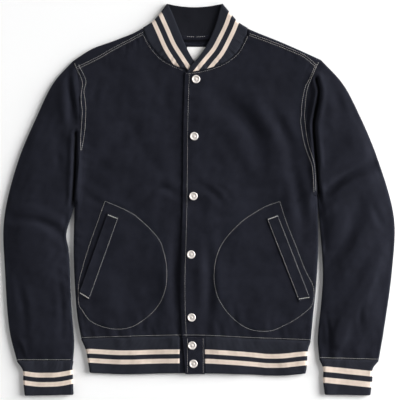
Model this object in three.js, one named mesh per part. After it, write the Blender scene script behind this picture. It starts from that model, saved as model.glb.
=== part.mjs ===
// Varsity jacket lying flat on its back, front up. Millimetres, +Z up, the neck towards +Y.
// Right and left are the wearer's, so right is at -X and left is at +X.
// The origin is on the underside of the back panel, below the middle of the chest.

import * as THREE from 'three';

// Walls and gaps
const CLOTH = 1.7;            // body cloth
const RIB = 2.6;              // rib trim, two layers of knit
const TAPE = 1.0;             // neck tape, hanger loop and label
const WELT = 1.5;             // pocket welt, folded cloth
const SEAM = 0.45;            // each piece stops this far from the line of a seam
const SIDE_SEAM = 0.6;         // half the gap between front and back down the side, in height
const ARMHOLE_END_GAP = 0.7;   // an armhole seam opens by this much more at both ends
const ARMHOLE_END_REACH = 9;
const NECK_CORNER = 1.6;       // the shoulders stop this far from the fold of the collar
const LIFT_OFF = 0.35;        // air under a piece that lies on another
const FOOTPRINT = 3;          // how far round a place such a piece looks for what carries it
const ABOVE_ALL = 60;         // a height above the whole jacket
const INSIDE = 3.9;           // a height between the two layers

// Heights of the middle of the cloth
const UPPER = 6.0;            // front layer
const MIDDLE = 3.5;           // outermost line of a folded edge
const SWELL = 1.6;            // extra height of the front layer beside a folded edge
const SWELL_WIDTH = 26;       // how far in from the edge that extra height reaches
const ROLL = 3.4;             // width of the round of a folded edge
const ROLL_STEPS = [0, 0.134, 0.5, 1];   // shares of that width, at turns of 0, 30, 60 and 90 degrees
const UNDERLAP = -1.0;        // the right front sinks by this where the left one covers it
const OVERLAP = 1.3;          // the left front rises by this where it covers the right one
const COLLAR_OVERLAP = 2.2;   // the same for the thicker collar end
const LAP_FADE = 34;          // length over which each lap eases back to the plain height

// Side and armhole edges of the body, from the hem to the tip of the shoulder
const BODY_EDGE = [
  { rightX: -224, rightY: -268, leftX: 222, leftY: -272 },
  { rightX: -231, rightY: -230, leftX: 226, leftY: -228 },
  { rightX: -236, rightY: -170, leftX: 232, leftY: -170 },
  { rightX: -238.8, rightY: -100, leftX: 236, leftY: -105 },
  { rightX: -238, rightY: -52, leftX: 236.3, leftY: -50 },
  { rightX: -237, rightY: -6, leftX: 235, leftY: 8 },
  { rightX: -230.3, rightY: 58, leftX: 231.7, leftY: 68 },
  { rightX: -227, rightY: 125, leftX: 218, leftY: 127 },
  { rightX: -226.8, rightY: 195, leftX: 214.5, leftY: 185 },
  { rightX: -229.5, rightY: 240, leftX: 222, leftY: 230 },
  { rightX: -232, rightY: 253, leftX: 232.5, leftY: 256 },
  { rightX: -240, rightY: 270, leftX: 242, leftY: 272 },
];
const UNDERARM_ROW = 5;
const SHOULDER_SEAM_ROW = 10;

// Shoulders from the tip to the neck: the folded edge, and the seam on the front
const SHOULDER = [
  { rightX: -240, rightY: 270, leftX: 242, leftY: 272 },
  { rightX: -204, rightY: 293, leftX: 198, leftY: 292 },
  { rightX: -161, rightY: 309, leftX: 161, leftY: 308 },
  { rightX: -122, rightY: 324.5, leftX: 122, leftY: 323.5 },
  { rightX: -104, rightY: 334, leftX: 99.5, leftY: 333 },
];
const SHOULDER_SEAM = [
  { rightX: -232, rightY: 253, leftX: 232.5, leftY: 256 },
  { rightX: -189, rightY: 274, leftX: 209, leftY: 276 },
  { rightX: -158, rightY: 292, leftX: 176, leftY: 291 },
  { rightX: -128.7, rightY: 307, leftX: 143, leftY: 304 },
  { rightX: -101, rightY: 322, leftX: 98, leftY: 320 },
];

// Front neck seam from the shoulder seam to the front edge of each front
const NECK_SEAM = [
  { rightX: -101, rightY: 322, leftX: 98, leftY: 320 },
  { rightX: -90, rightY: 301, leftX: 82, leftY: 290 },
  { rightX: -67, rightY: 275, leftX: 56, leftY: 268 },
  { rightX: -36, rightY: 258.5, leftX: 20.5, leftY: 254.5 },
  { rightX: -8, rightY: 250, leftX: -4, leftY: 249.5 },
  { rightX: 16, rightY: 248.5, leftX: -22.4, leftY: 248 },
];

// Front edges, from the hem to the neck; the right one is hidden under the left front
const FRONT_EDGE = [
  { rightX: 14, rightY: -266, leftX: -28.5, leftY: -266 },
  { rightX: 13, rightY: -150, leftX: -31, leftY: -180 },
  { rightX: 13, rightY: 20, leftX: -27, leftY: 0 },
  { rightX: 15, rightY: 150, leftX: -25.3, leftY: 160 },
  { rightX: 16, rightY: 248.5, leftX: -22.4, leftY: 248 },
];

// Back neck seam from the right shoulder to the left one
const BACK_NECK = [
  { x: -104, y: 334 },
  { x: -86, y: 322.5 },
  { x: -52, y: 315.5 },
  { x: -3, y: 313.5 },
  { x: 46, y: 316.5 },
  { x: 82, y: 323 },
  { x: 99.5, y: 333 },
];

// Sleeve edges from the armhole to the cuff seam
const SLEEVE_RIGHT = [
  { innerX: -237, innerY: -6, outerX: -240, outerY: 270 },
  { innerX: -243, innerY: -27, outerX: -278, outerY: 227 },
  { innerX: -254.5, innerY: -67, outerX: -313, outerY: 156 },
  { innerX: -249.5, innerY: -100, outerX: -347, outerY: 74 },
  { innerX: -246.7, innerY: -152, outerX: -374, outerY: -38 },
  { innerX: -244.5, innerY: -205, outerX: -372, outerY: -142 },
  { innerX: -239, innerY: -276, outerX: -363, outerY: -256 },
  { innerX: -241, innerY: -313, outerX: -349, outerY: -313 },
];
const SLEEVE_LEFT = [
  { innerX: 235, innerY: 8, outerX: 242, outerY: 272 },
  { innerX: 238.5, innerY: -26, outerX: 284, outerY: 226 },
  { innerX: 242, innerY: -66, outerX: 317, outerY: 164 },
  { innerX: 245.3, innerY: -105, outerX: 352, outerY: 80 },
  { innerX: 247, innerY: -150, outerX: 384, outerY: -36 },
  { innerX: 244, innerY: -197, outerX: 381, outerY: -128 },
  { innerX: 237, innerY: -272, outerX: 364, outerY: -254 },
  { innerX: 240, innerY: -309, outerX: 354, outerY: -312 },
];

// Cuff edges from the sleeve to the open end
const CUFF_RIGHT = [
  { innerX: -241, innerY: -313, outerX: -349, outerY: -313 },
  { innerX: -243, innerY: -328, outerX: -337, outerY: -331 },
  { innerX: -242, innerY: -350, outerX: -336, outerY: -352 },
  { innerX: -241, innerY: -379, outerX: -333, outerY: -381 },
];
const CUFF_LEFT = [
  { innerX: 240, innerY: -309, outerX: 354, outerY: -312 },
  { innerX: 248, innerY: -328, outerX: 342, outerY: -328 },
  { innerX: 248, innerY: -352, outerX: 341, outerY: -350 },
  { innerX: 251.5, innerY: -379, outerX: 337, outerY: -380 },
];

// Collar fronts from the front end to the fold beside the neck, and the top edge behind the neck
const COLLAR_SEAM_RIGHT = [
  { x: 6, y: 252.8 },
  { x: -8, y: 251.8 },
  { x: -36, y: 259.4 },
  { x: -67, y: 276 },
  { x: -89.5, y: 302 },
  { x: -100.5, y: 323 },
  { x: -103.5, y: 334.6 },
];
const COLLAR_TOP_RIGHT = [
  { x: 5, y: 263.5 },
  { x: -4, y: 270 },
  { x: -18.5, y: 294.5 },
  { x: -33, y: 328.5 },
  { x: -45, y: 358 },
  { x: -56, y: 382 },
];
const COLLAR_SEAM_LEFT = [
  { x: -18, y: 249 },
  { x: -4, y: 250.5 },
  { x: 20, y: 255.4 },
  { x: 56, y: 269 },
  { x: 81.2, y: 291 },
  { x: 97.4, y: 321 },
  { x: 99, y: 333.6 },
];
const COLLAR_TOP_LEFT = [
  { x: -12, y: 260.5 },
  { x: 2, y: 276 },
  { x: 18.5, y: 298.5 },
  { x: 33.5, y: 330 },
  { x: 42, y: 356 },
  { x: 49, y: 382 },
];
const COLLAR_TOP_BACK = [
  { x: -56, y: 382 },
  { x: -32, y: 377.5 },
  { x: -3, y: 375.6 },
  { x: 26, y: 377.8 },
  { x: 49, y: 382 },
];
const COLLAR_FOLD_RIGHT = [
  { x: -103.5, y: 334.6 },
  { x: -84, y: 347 },
  { x: -70, y: 363 },
  { x: -56, y: 382 },
];
const COLLAR_FOLD_LEFT = [
  { x: 99, y: 333.6 },
  { x: 80, y: 346 },
  { x: 65, y: 363 },
  { x: 49, y: 382 },
];

// Hem band: its two folded sides and the lines where it stops beside the front tabs
const HEM_SIDE = [
  { rightX: -223.5, rightY: -270, leftX: 221.5, leftY: -274 },
  { rightX: -214, rightY: -292, leftX: 215.2, leftY: -294 },
  { rightX: -209.5, rightY: -317, leftX: 213.7, leftY: -322 },
  { rightX: -206.5, rightY: -336, leftX: 211, leftY: -338 },
];
const HEM_BOTTOM = [
  { x: -206.5, y: -336 },
  { x: -150, y: -339 },
  { x: -30, y: -337 },
  { x: 90, y: -339 },
  { x: 160, y: -342 },
  { x: 211, y: -338 },
];
const HEM_TOP = [
  { x: -223.5, y: -270 },
  { x: -108, y: -266.5 },
  { x: 0, y: -265 },
  { x: 110, y: -270 },
  { x: 221.5, y: -274 },
];
const TAB_UNDER = { from: -33, to: 12, top: -267, bottom: -337 };
const TAB_OVER = { from: -27.5, to: 16, top: -267, bottom: -338.5, slant: 6 };

// Pocket welts: the middle of each end, the slant being the line between them
const WELTS = [
  { name: 'pocket_welt_right', topX: -162, topY: -30, endX: -219, endY: -189, width: 23 },
  { name: 'pocket_welt_left', topX: 147.5, topY: -32, endX: 210.5, endY: -194, width: 23 },
];

// Snap caps down the placket and the hem tab
const SNAP = { radius: 8, rim: 1.0, height: 2.6, dish: 1.0 };
const SNAPS = [
  { x: -1, y: 235 },
  { x: -4.5, y: 124 },
  { x: -6, y: 7.5 },
  { x: -10.5, y: -106 },
  { x: -9.5, y: -228.5 },
  { x: -8.5, y: -283 },
  { x: -6, y: -318.5 },
];

// What shows inside the neck
const NECK_TAPE = { from: -80, to: 75, halfWidth: 6.6 };
const HANGER_LOOP = { from: -24, to: 24, sag: 7, drop: 9.5, halfWidth: 2 };
const LABEL = { halfWidth: 18.5, top: 298, bottom: 264 };

// Largest folds of the front layer, each along a line through three places. A negative rise is a
// valley between two low banks, and a positive one is a ridge.
const FOLDS = [
  { x0: 34, y0: 215, x1: 85, y1: 162, x2: 124, y2: 94, width: 17, rise: -1.7 },
  { x0: 143, y0: 234, x1: 170, y1: 175, x2: 186, y2: 88, width: 16, rise: -1.5 },
  { x0: -77, y0: 164, x1: -135, y1: 109, x2: -161, y2: 62, width: 24, rise: -1.2 },
  { x0: -36, y0: -78, x1: -40, y1: -168, x2: -38, y2: -259, width: 13, rise: -1.1 },
  { x0: 32, y0: -150, x1: 38, y1: -205, x2: 48, y2: -259, width: 15, rise: -1.3 },
  { x0: -251, y0: 250, x1: -243, y1: 200, x2: -234, y2: 150, width: 13, rise: -1.5 },
  { x0: -252, y0: -68, x1: -290, y1: -52, x2: -352, y2: -64, width: 17, rise: -2.1 },
  { x0: 240, y0: 20, x1: 290, y1: 52, x2: 338, y2: 66, width: 17, rise: -2.2 },
  { x0: 372, y0: -120, x1: 312, y1: -222, x2: 290, y2: -304, width: 22, rise: 3.2 },
  { x0: -236, y0: 4, x1: -231, y1: 60, x2: -229, y2: 120, width: 13, rise: -2.0 },
  { x0: 234, y0: 16, x1: 228, y1: 90, x2: 216, y2: 165, width: 13, rise: -2.0 },
  { x0: -330, y0: 40, x1: -322, y1: -70, x2: -318, y2: -190, width: 34, rise: 2.2 },
  { x0: 300, y0: 120, x1: 322, y1: 0, x2: 330, y2: -80, width: 34, rise: 2.4 },
];
const FOLD_EDGE = 16;         // a fold fades out over this distance from a folded edge

// How the grids of the walls are divided
const FRONT_WIDTH = 220;
const FRONT_NECK_SHARE = 0.53;    // of a front's width, from the side to the neck
const BACK_NECK_SHARE = 0.3;      // of the back's width, from the side to the neck
const NECK_STEPS = 7;
const NECK_COLUMN = 8;            // column of the back at the right end of the neck
const SLEEVE_SECTIONS = 20;
const COLLAR_LENGTH = 150;        // of each half of the collar
const HEM_FRONT_LENGTH = 190;
const HEM_BACK_LENGTH = 440;
const CHAIN_POINTS = 48;          // places on a line that stands for a folded edge
const LINE_POINTS = 200;          // places on a line that is searched
const ROUND_POINTS = 8;           // places round a footprint
const CAP_SIDES = 18;
const SHOULDER_WRAP = 13;         // from the folded shoulder to its seam
const WRAP_SHARES = [...ROLL_STEPS.slice(1).map((step) => (step * ROLL) / SHOULDER_WRAP), 0.62, 1];

const NAVY = { color: 0x23262f, roughness: 0.9, metalness: 0 };
const RIB_NAVY = { color: 0x28303c, roughness: 0.95, metalness: 0 };
const LABEL_WHITE = { color: 0xe9e6e0, roughness: 0.8, metalness: 0 };
const SNAP_METAL = { color: 0xcfc9c2, roughness: 0.35, metalness: 0.9 };

const jacket = new THREE.Group();
jacket.name = 'varsity_jacket';

/** Smooth line through the rows of a table, read from the columns x and y or from one side's columns. */
function lineOf(rows, side = '') {
  const x = side ? `${side}X` : 'x';
  const y = side ? `${side}Y` : 'y';
  const points = rows.map((row) => new THREE.Vector3(row[x], row[y], 0));
  return new THREE.CatmullRomCurve3(points, false, 'centripetal');
}

/** Places along a line, at shares of its length. */
function along(line, shares) {
  return shares.map((share) => line.getPointAt(Math.min(Math.max(share, 0), 1)));
}

/** The y of a line where it passes an x. */
function heightAt(line, x) {
  const points = line.getSpacedPoints(LINE_POINTS);
  const next = Math.max(points.findIndex((point) => point.x >= x), 1);
  const [a, b] = [points[next - 1], points[next]];
  return a.y + ((b.y - a.y) * (x - a.x)) / (b.x - a.x);
}

/** The seam between the body and the hem band. */
function hemSeamY(x) {
  return heightAt(lineOf(HEM_TOP), x);
}

/** Evenly spaced shares from one value to another, the first one left out when asked. */
function shares(from, to, count, first = true) {
  const list = Array.from({ length: count + 1 }, (_, i) => from + ((to - from) * i) / count);
  return first ? list : list.slice(1);
}

/** Rises smoothly from 0 to 1 as the value goes from 0 to 1. */
function ease(value) {
  const t = Math.min(Math.max(value, 0), 1);
  return t * t * (3 - 2 * t);
}

/** Distance from a place to a chain of points, and the share of the chain's length it is nearest to. */
function toChain(x, y, chain) {
  let best = { distance: Infinity, share: 0 };
  for (let i = 0; i + 1 < chain.length; i += 1) {
    const [a, b] = [chain[i], chain[i + 1]];
    const [dx, dy] = [b.x - a.x, b.y - a.y];
    const t = Math.min(Math.max(((x - a.x) * dx + (y - a.y) * dy) / (dx * dx + dy * dy), 0), 1);
    const distance = Math.hypot(x - a.x - t * dx, y - a.y - t * dy);
    if (distance < best.distance) best = { distance, share: (i + t) / (chain.length - 1) };
  }
  return best;
}

/** Place on a chain of points, at a share of its number of steps. */
function onChain(chain, share) {
  const step = Math.min(share * (chain.length - 1), chain.length - 1 - 1e-9);
  const i = Math.floor(step);
  return chain[i].clone().lerp(chain[i + 1], step - i);
}

const neckChain = lineOf(BACK_NECK).getSpacedPoints(NECK_STEPS);
const SLEEVES = { right: SLEEVE_RIGHT, left: SLEEVE_LEFT };
const CUFFS = { right: CUFF_RIGHT, left: CUFF_LEFT };

// Every folded edge of the flat jacket, as chains of points
const foldedEdges = ['right', 'left'].flatMap((side) => [
  lineOf(BODY_EDGE.slice(0, UNDERARM_ROW + 1), side),
  lineOf(SHOULDER, side),
  lineOf(SLEEVES[side], 'inner'),
  lineOf(SLEEVES[side], 'outer'),
  lineOf(CUFFS[side], 'inner'),
  lineOf(CUFFS[side], 'outer'),
  lineOf(HEM_SIDE, side),
]).concat([lineOf(COLLAR_FOLD_RIGHT), lineOf(COLLAR_FOLD_LEFT)])
  .map((line) => line.getSpacedPoints(CHAIN_POINTS));

const foldChains = FOLDS.map((fold) => ({
  ...fold,
  chain: lineOf([
    { x: fold.x0, y: fold.y0 },
    { x: fold.x1, y: fold.y1 },
    { x: fold.x2, y: fold.y2 },
  ]).getSpacedPoints(CHAIN_POINTS / 4),
}));

/** Distance in from the nearest folded edge. */
function inFromEdge(x, y) {
  return Math.min(...foldedEdges.map((chain) => toChain(x, y, chain).distance));
}

/** Height that the folds add to the front layer. */
function foldHeight(x, y) {
  let height = 0;
  for (const { chain, width, rise } of foldChains) {
    const { distance, share } = toChain(x, y, chain);
    const q = (distance / width) ** 2;
    const bank = rise < 0 ? 1 - q : 1;
    height += rise * bank * Math.exp(-q / 1.2) * Math.sin(Math.PI * Math.min(Math.max(share, 0.12), 0.88));
  }
  return height;
}

/** Round of a folded edge, from 0 at the edge to 1 where the cloth has turned flat. */
function roundOff(distance) {
  const t = Math.min(distance / ROLL, 1);
  return Math.sqrt(1 - (1 - t) ** 2);
}

/** Middle height of the front layer. */
function upperZ(x, y, thickness = CLOTH, lap = 0) {
  const inside = inFromEdge(x, y);
  const swell = SWELL * Math.exp(-((inside / SWELL_WIDTH) ** 2));
  const folds = foldHeight(x, y) * ease(inside / FOLD_EDGE);
  const top = UPPER + (thickness - CLOTH) / 2 + swell + folds + lap;
  return MIDDLE + (top - MIDDLE) * roundOff(inside);
}

/** Middle height of the layer that rests on the surface. */
function lowerZ(x, y, thickness = CLOTH) {
  return MIDDLE - (MIDDLE - thickness / 2) * roundOff(inFromEdge(x, y));
}

/** Places inside four edges, by blending them. Each edge is a list of places. */
function blend(bottom, top, start, end, across, up) {
  const [p00, p10] = [bottom[0], bottom[bottom.length - 1]];
  const [p01, p11] = [top[0], top[top.length - 1]];
  return up.map((v, row) => across.map((u, column) => {
    const at = (axis) => (1 - v) * bottom[column][axis] + v * top[column][axis]
      + (1 - u) * start[row][axis] + u * end[row][axis]
      - (1 - u) * (1 - v) * p00[axis] - u * (1 - v) * p10[axis]
      - (1 - u) * v * p01[axis] - u * v * p11[axis];
    return new THREE.Vector3(at('x'), at('y'), 0);
  }));
}

/** Direction of a grid at a place, from its neighbours before and after. */
function slope(before2, before, here, after, after2) {
  if (before && after) return after.clone().sub(before);
  const [near, far, sign] = after ? [after, after2, 1] : [before, before2, -1];
  const step = near.clone().sub(here);
  if (!far) return step.multiplyScalar(sign);
  return step.multiplyScalar(2).sub(far.clone().sub(here).multiplyScalar(0.5)).multiplyScalar(sign);
}

/** Closed wall round a grid of middle places. A grid may leave places out, or close on itself. */
function wall(name, grid, thickness, finish, ring = false) {
  const width = grid[0].length;
  const place = (row, column) => {
    const wrapped = ring ? (column + width) % width : column;
    return grid[row]?.[wrapped];
  };
  const positions = [];
  const numbers = new Map();
  const key = (row, column) => row * width + (ring ? (column + width) % width : column);
  for (let row = 0; row < grid.length; row += 1) {
    for (let column = 0; column < width; column += 1) {
      const here = place(row, column);
      if (!here) continue;
      const acrossBy = slope(...[-2, -1, 0, 1, 2].map((step) => place(row, column + step)));
      const upBy = slope(...[-2, -1, 0, 1, 2].map((step) => place(row + step, column)));
      const half = acrossBy.cross(upBy).setLength(thickness / 2);
      numbers.set(key(row, column), positions.length / 3);
      const [outside, inside] = [here.clone().add(half), here.clone().sub(half)];
      positions.push(...outside.toArray(), ...inside.toArray());
    }
  }
  const cell = (row, column) => [[0, 0], [0, 1], [1, 1], [1, 0]]
    .every(([r, c]) => place(row + r, column + c));
  const faces = [];
  const quad = (a, b, c, d) => faces.push(a, b, c, a, c, d);
  for (let row = 0; row + 1 < grid.length; row += 1) {
    for (let column = 0; column < (ring ? width : width - 1); column += 1) {
      if (!cell(row, column)) continue;
      const corners = [[0, 0], [0, 1], [1, 1], [1, 0]].map(([r, c]) => numbers.get(key(row + r, column + c)));
      const [a, b, c, d] = corners;
      quad(a, b, c, d);
      quad(a + 1, d + 1, c + 1, b + 1);
      const beyond = [[-1, 0], [0, 1], [1, 0], [0, -1]];
      beyond.forEach(([r, c2], side) => {
        const insideGrid = row + r >= 0 && row + r + 1 < grid.length;
        if (insideGrid && cell(row + r, column + c2)) return;
        const [from, to] = [corners[side], corners[(side + 1) % 4]];
        quad(to, from, from + 1, to + 1);
      });
    }
  }
  return solid(name, positions, faces, finish);
}

/** Adds one closed mesh to the jacket. */
function solid(name, positions, faces, finish) {
  const geometry = new THREE.BufferGeometry();
  geometry.setAttribute('position', new THREE.Float32BufferAttribute(positions, 3));
  if (faces) geometry.setIndex(faces);
  return place(name, geometry, finish);
}

/** Adds a named mesh made from a geometry. */
function place(name, geometry, finish) {
  geometry.computeVertexNormals();
  const mesh = new THREE.Mesh(geometry, new THREE.MeshStandardMaterial(finish));
  mesh.name = name;
  jacket.add(mesh);
  return mesh;
}

/** Moves a place sideways. */
function shifted(point, x, y) {
  return new THREE.Vector3(point.x + x, point.y + y, 0);
}

/** How far the two sides of an armhole stay apart: more where the folded edges meet at its ends. */
function armholeGap(point, side) {
  const ends = [BODY_EDGE[UNDERARM_ROW], BODY_EDGE[BODY_EDGE.length - 1]];
  const [x, y] = [`${side}X`, `${side}Y`];
  const nearest = Math.min(...ends.map((row) => Math.hypot(point.x - row[x], point.y - row[y])));
  return SEAM + ARMHOLE_END_GAP * Math.exp(-((nearest / ARMHOLE_END_REACH) ** 2));
}

const SIGN = { right: -1, left: 1 };
const BODY_ROWS_BELOW = 10;   // rows of the fronts from the hem to the underarm
const BACK_ROWS_BELOW = 8;
const ARMHOLE_ROWS = 8;       // rows of the fronts from the underarm to the shoulder seam
const BACK_ARMHOLE_ROWS = 5;

/** Share of a line's length at the place nearest to a row of its table. */
function shareAt(line, row, side) {
  return toChain(row[`${side}X`], row[`${side}Y`], line.getSpacedPoints(LINE_POINTS)).share;
}

/** The side and armhole line of one side, and the shares of its length at its landmarks. */
function bodyLine(side) {
  const line = lineOf(BODY_EDGE, side);
  const length = line.getLength();
  return {
    line,
    underarm: shareAt(line, BODY_EDGE[UNDERARM_ROW], side),
    seam: shareAt(line, BODY_EDGE[SHOULDER_SEAM_ROW], side),
    turn: ROLL / length,
    length,
  };
}

const bodyLines = { right: bodyLine('right'), left: bodyLine('left') };

/** Place on the side and armhole line, moved off an armhole seam to the given side of it. */
function edgePlace(side, share, away) {
  const { line, underarm, turn } = bodyLines[side];
  const point = line.getPointAt(Math.min(share, 1));
  const gap = share > underarm - turn ? armholeGap(point, side) : 0;
  return shifted(point, SIGN[side] * away * gap, 0);
}

/** Shares of the rows of a front, and of the front layer of a sleeve at the armhole. */
function frontRows(side) {
  const { underarm, seam, turn } = bodyLines[side];
  return [
    ...shares(0, underarm, BODY_ROWS_BELOW),
    ...ROLL_STEPS.slice(2).map((step) => underarm + step * turn),
    ...shares(underarm + turn, seam, ARMHOLE_ROWS, false),
  ];
}

/** Shares of the rows of the back up to the folded edge of the shoulder. */
function backRows(side) {
  const { underarm, turn } = bodyLines[side];
  return [
    ...shares(0, underarm, BACK_ROWS_BELOW),
    ...ROLL_STEPS.slice(2).map((step) => underarm + step * turn),
    ...shares(underarm + turn, 1 - turn, BACK_ARMHOLE_ROWS, false),
    ...ROLL_STEPS.slice(0, 3).reverse().map((step) => 1 - step * turn),
  ];
}

/** One front, from its side and armhole to its front edge. */
function front(side) {
  const edgeShares = frontRows(side);
  const rows = edgeShares.map((share) => share / bodyLines[side].seam);
  const columns = [
    ...ROLL_STEPS.map((step) => (step * ROLL) / FRONT_WIDTH),
    ...shares(ROLL / FRONT_WIDTH, FRONT_NECK_SHARE, 6, false),
    ...shares(FRONT_NECK_SHARE, 1, 6, false),
  ];
  const shoulderLine = lineOf(SHOULDER_SEAM, side);
  const neckLine = lineOf(NECK_SEAM, side);
  const top = columns.map((u) => shifted(u <= FRONT_NECK_SHARE
    ? shoulderLine.getPointAt(u / FRONT_NECK_SHARE)
    : neckLine.getPointAt((u - FRONT_NECK_SHARE) / (1 - FRONT_NECK_SHARE)), 0, -SEAM));
  const start = edgeShares.map((share) => edgePlace(side, share, -1));
  top[0] = shifted(start[start.length - 1], 0, -SEAM);
  const end = along(lineOf(FRONT_EDGE, side), rows);
  end[end.length - 1] = top[top.length - 1];
  start[start.length - 1] = top[0];
  const [startX, endX] = [start[0].x, end[0].x];
  const bottom = columns.map((u) => {
    const x = startX + (endX - startX) * u;
    return new THREE.Vector3(x, hemSeamY(x) + SEAM, 0);
  });
  start[0] = bottom[0];
  end[0] = bottom[bottom.length - 1];
  const grid = blend(bottom, top, start, end, columns, rows);
  grid.forEach((points, row) => points.forEach((point, column) => {
    const height = upperZ(point.x, point.y, CLOTH, frontLap(side, point.x));
    const onSideSeam = column === 0 && row <= BODY_ROWS_BELOW;
    point.z = onSideSeam ? Math.max(height, MIDDLE + SIDE_SEAM) : height;
  }));
  if (side === 'left') grid.forEach((points) => points.reverse());
  return wall(`front_${side}`, grid, CLOTH, NAVY);
}

/** How far a front rises or sinks where the two fronts lap. */
function frontLap(side, x) {
  return side === 'right'
    ? UNDERLAP * ease((x - TAB_UNDER.from + LAP_FADE) / LAP_FADE)
    : OVERLAP * ease((TAB_OVER.to + LAP_FADE - x) / LAP_FADE);
}

/** The back, and its wrap over both shoulders to the seams on the front. */
function back() {
  const edgeShares = { right: backRows('right'), left: backRows('left') };
  const rows = edgeShares.right.map((share, row) => (share + edgeShares.left[row]) / 2);
  const turnShare = ROLL / (2 * FRONT_WIDTH);
  const neckTo = 1 - BACK_NECK_SHARE;
  const columns = [
    ...ROLL_STEPS.map((step) => step * turnShare),
    ...shares(turnShare, BACK_NECK_SHARE, 5, false),
    ...shares(BACK_NECK_SHARE, neckTo, NECK_STEPS, false),
    ...shares(neckTo, 1 - turnShare, 5, false),
    ...ROLL_STEPS.slice(0, 3).reverse().map((step) => 1 - step * turnShare),
  ];
  const shoulders = { right: lineOf(SHOULDER, 'right'), left: lineOf(SHOULDER, 'left') };
  const seams = { right: lineOf(SHOULDER_SEAM, 'right'), left: lineOf(SHOULDER_SEAM, 'left') };
  const sideOf = (u) => (u < 0.5 ? 'right' : 'left');
  const shoulderShare = (u) => Math.min(Math.min(u, 1 - u) / BACK_NECK_SHARE, 1);
  const inNeck = (column) => column > NECK_COLUMN && column < NECK_COLUMN + NECK_STEPS;
  const atNeck = (column) => column === NECK_COLUMN || column === NECK_COLUMN + NECK_STEPS;
  const top = columns.map((u, column) => {
    if (inNeck(column)) return shifted(neckChain[column - NECK_COLUMN], 0, -SEAM);
    const point = shoulders[sideOf(u)].getPointAt(shoulderShare(u));
    return shifted(point, SIGN[sideOf(u)] * (atNeck(column) ? NECK_CORNER : 0), 0);
  });
  const start = edgeShares.right.map((share) => edgePlace('right', share, -1));
  const end = edgeShares.left.map((share) => edgePlace('left', share, -1));
  top[0] = start[start.length - 1];
  top[top.length - 1] = end[end.length - 1];
  const hem = lineOf(HEM_TOP);
  const bottom = columns.map((u) => shifted(hem.getPointAt(u), 0, SEAM));
  start[0] = bottom[0];
  end[0] = bottom[bottom.length - 1];
  const grid = blend(bottom, top, start, end, columns, rows);
  grid.forEach((points, row) => points.forEach((point, column) => {
    const height = lowerZ(point.x, point.y);
    const onSideSeam = (column === 0 || column === columns.length - 1) && row <= BACK_ROWS_BELOW;
    point.z = onSideSeam ? Math.min(height, MIDDLE - SIDE_SEAM) : height;
  }));
  const edgeRow = grid[grid.length - 1];
  WRAP_SHARES.forEach((share) => {
    grid.push(columns.map((u, column) => {
      if (inNeck(column)) return null;
      const side = sideOf(u);
      const atTip = column === 0 || column === columns.length - 1;
      const seamPoint = shifted(seams[side].getPointAt(shoulderShare(u)), 0, SEAM);
      if (atNeck(column)) seamPoint.x += SIGN[side] * NECK_CORNER;
      const point = atTip
        ? edgePlace(side, 1 - share * (1 - bodyLines[side].seam), -1)
        : edgeRow[column].clone().lerp(seamPoint, share);
      if (atTip && share === 1) point.y += SEAM;
      point.z = upperZ(point.x, point.y);
      return point;
    }));
  });
  grid.forEach((points) => points.reverse());
  return wall('back', grid, CLOTH, NAVY);
}

/** Ring of a flattened tube: the front layer from the inner edge to the outer one, then the back layer. */
function tubeRing(pointAt, thickness, upperMiddle, lowerMiddle, width) {
  const rollIn = ROLL_STEPS.slice(1).map((step) => (step * ROLL) / width);
  const rollOut = rollIn.map((step) => 1 - step).reverse();
  const stations = (middle) => [
    ...rollIn,
    ...middle.map((share) => rollIn[2] + (rollOut[0] - rollIn[2]) * share),
    ...rollOut,
  ];
  const at = (share, height) => {
    const point = pointAt(share);
    point.z = height(point.x, point.y, thickness);
    return point;
  };
  const middleHeight = () => MIDDLE;
  return [
    at(0, middleHeight),
    ...stations(upperMiddle).map((share) => at(share, upperZ)),
    at(1, middleHeight),
    ...stations(lowerMiddle).reverse().map((share) => at(share, lowerZ)),
  ];
}

/** Flattened tube between an inner and an outer line, from one end line to another. */
function tube({ name, table, from, to, rows, thickness, finish, side, upper, lower, firstWidth }) {
  const innerPoints = along(lineOf(table, 'inner'), rows);
  const outerPoints = along(lineOf(table, 'outer'), rows);
  [innerPoints[0], outerPoints[0]] = [from(0), from(1)];
  [innerPoints[rows.length - 1], outerPoints[rows.length - 1]] = [to(0), to(1)];
  const grid = rows.map((v, row) => {
    const [a, b] = [innerPoints[row], outerPoints[row]];
    const pointAt = (u) => blend(
      [from(0), from(u), from(1)], [to(0), to(u), to(1)],
      [a, a, a], [b, b, b], [0, u, 1], [v, v, v],
    )[0][1];
    const width = row === 0 && firstWidth ? firstWidth : a.distanceTo(b);
    return tubeRing(pointAt, thickness, upper, lower, width);
  });
  if (side === 'right') grid.forEach((points) => points.reverse());
  return wall(name, grid, thickness, finish, true);
}

/** Straight line across the ends of a row of a tube's table, moved along Y. */
function acrossRow(row, offset) {
  return (u) => new THREE.Vector3(
    row.innerX + (row.outerX - row.innerX) * u,
    row.innerY + (row.outerY - row.innerY) * u + offset,
    0,
  );
}

/** One sleeve, from the armhole to the cuff seam. */
function sleeve(side) {
  const { underarm, turn, length, seam } = bodyLines[side];
  const table = SLEEVES[side];
  const [low, high] = [underarm + turn, 1 - turn];
  const upper = [
    ...frontRows(side).slice(BODY_ROWS_BELOW + 3),
    ...WRAP_SHARES.slice(3, -1).map((share) => 1 - share * (1 - seam)),
  ].map((share) => (share - low) / (high - low));
  return tube({
    name: `sleeve_${side}`,
    table,
    from: (u) => edgePlace(side, underarm + (1 - underarm) * u, 1),
    to: acrossRow(table[table.length - 1], SEAM),
    rows: shares(0, 1, SLEEVE_SECTIONS),
    thickness: CLOTH,
    finish: NAVY,
    side,
    upper,
    lower: shares(0, 1, BACK_ARMHOLE_ROWS).slice(1, -1),
    firstWidth: length * (1 - underarm),
  });
}

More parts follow.
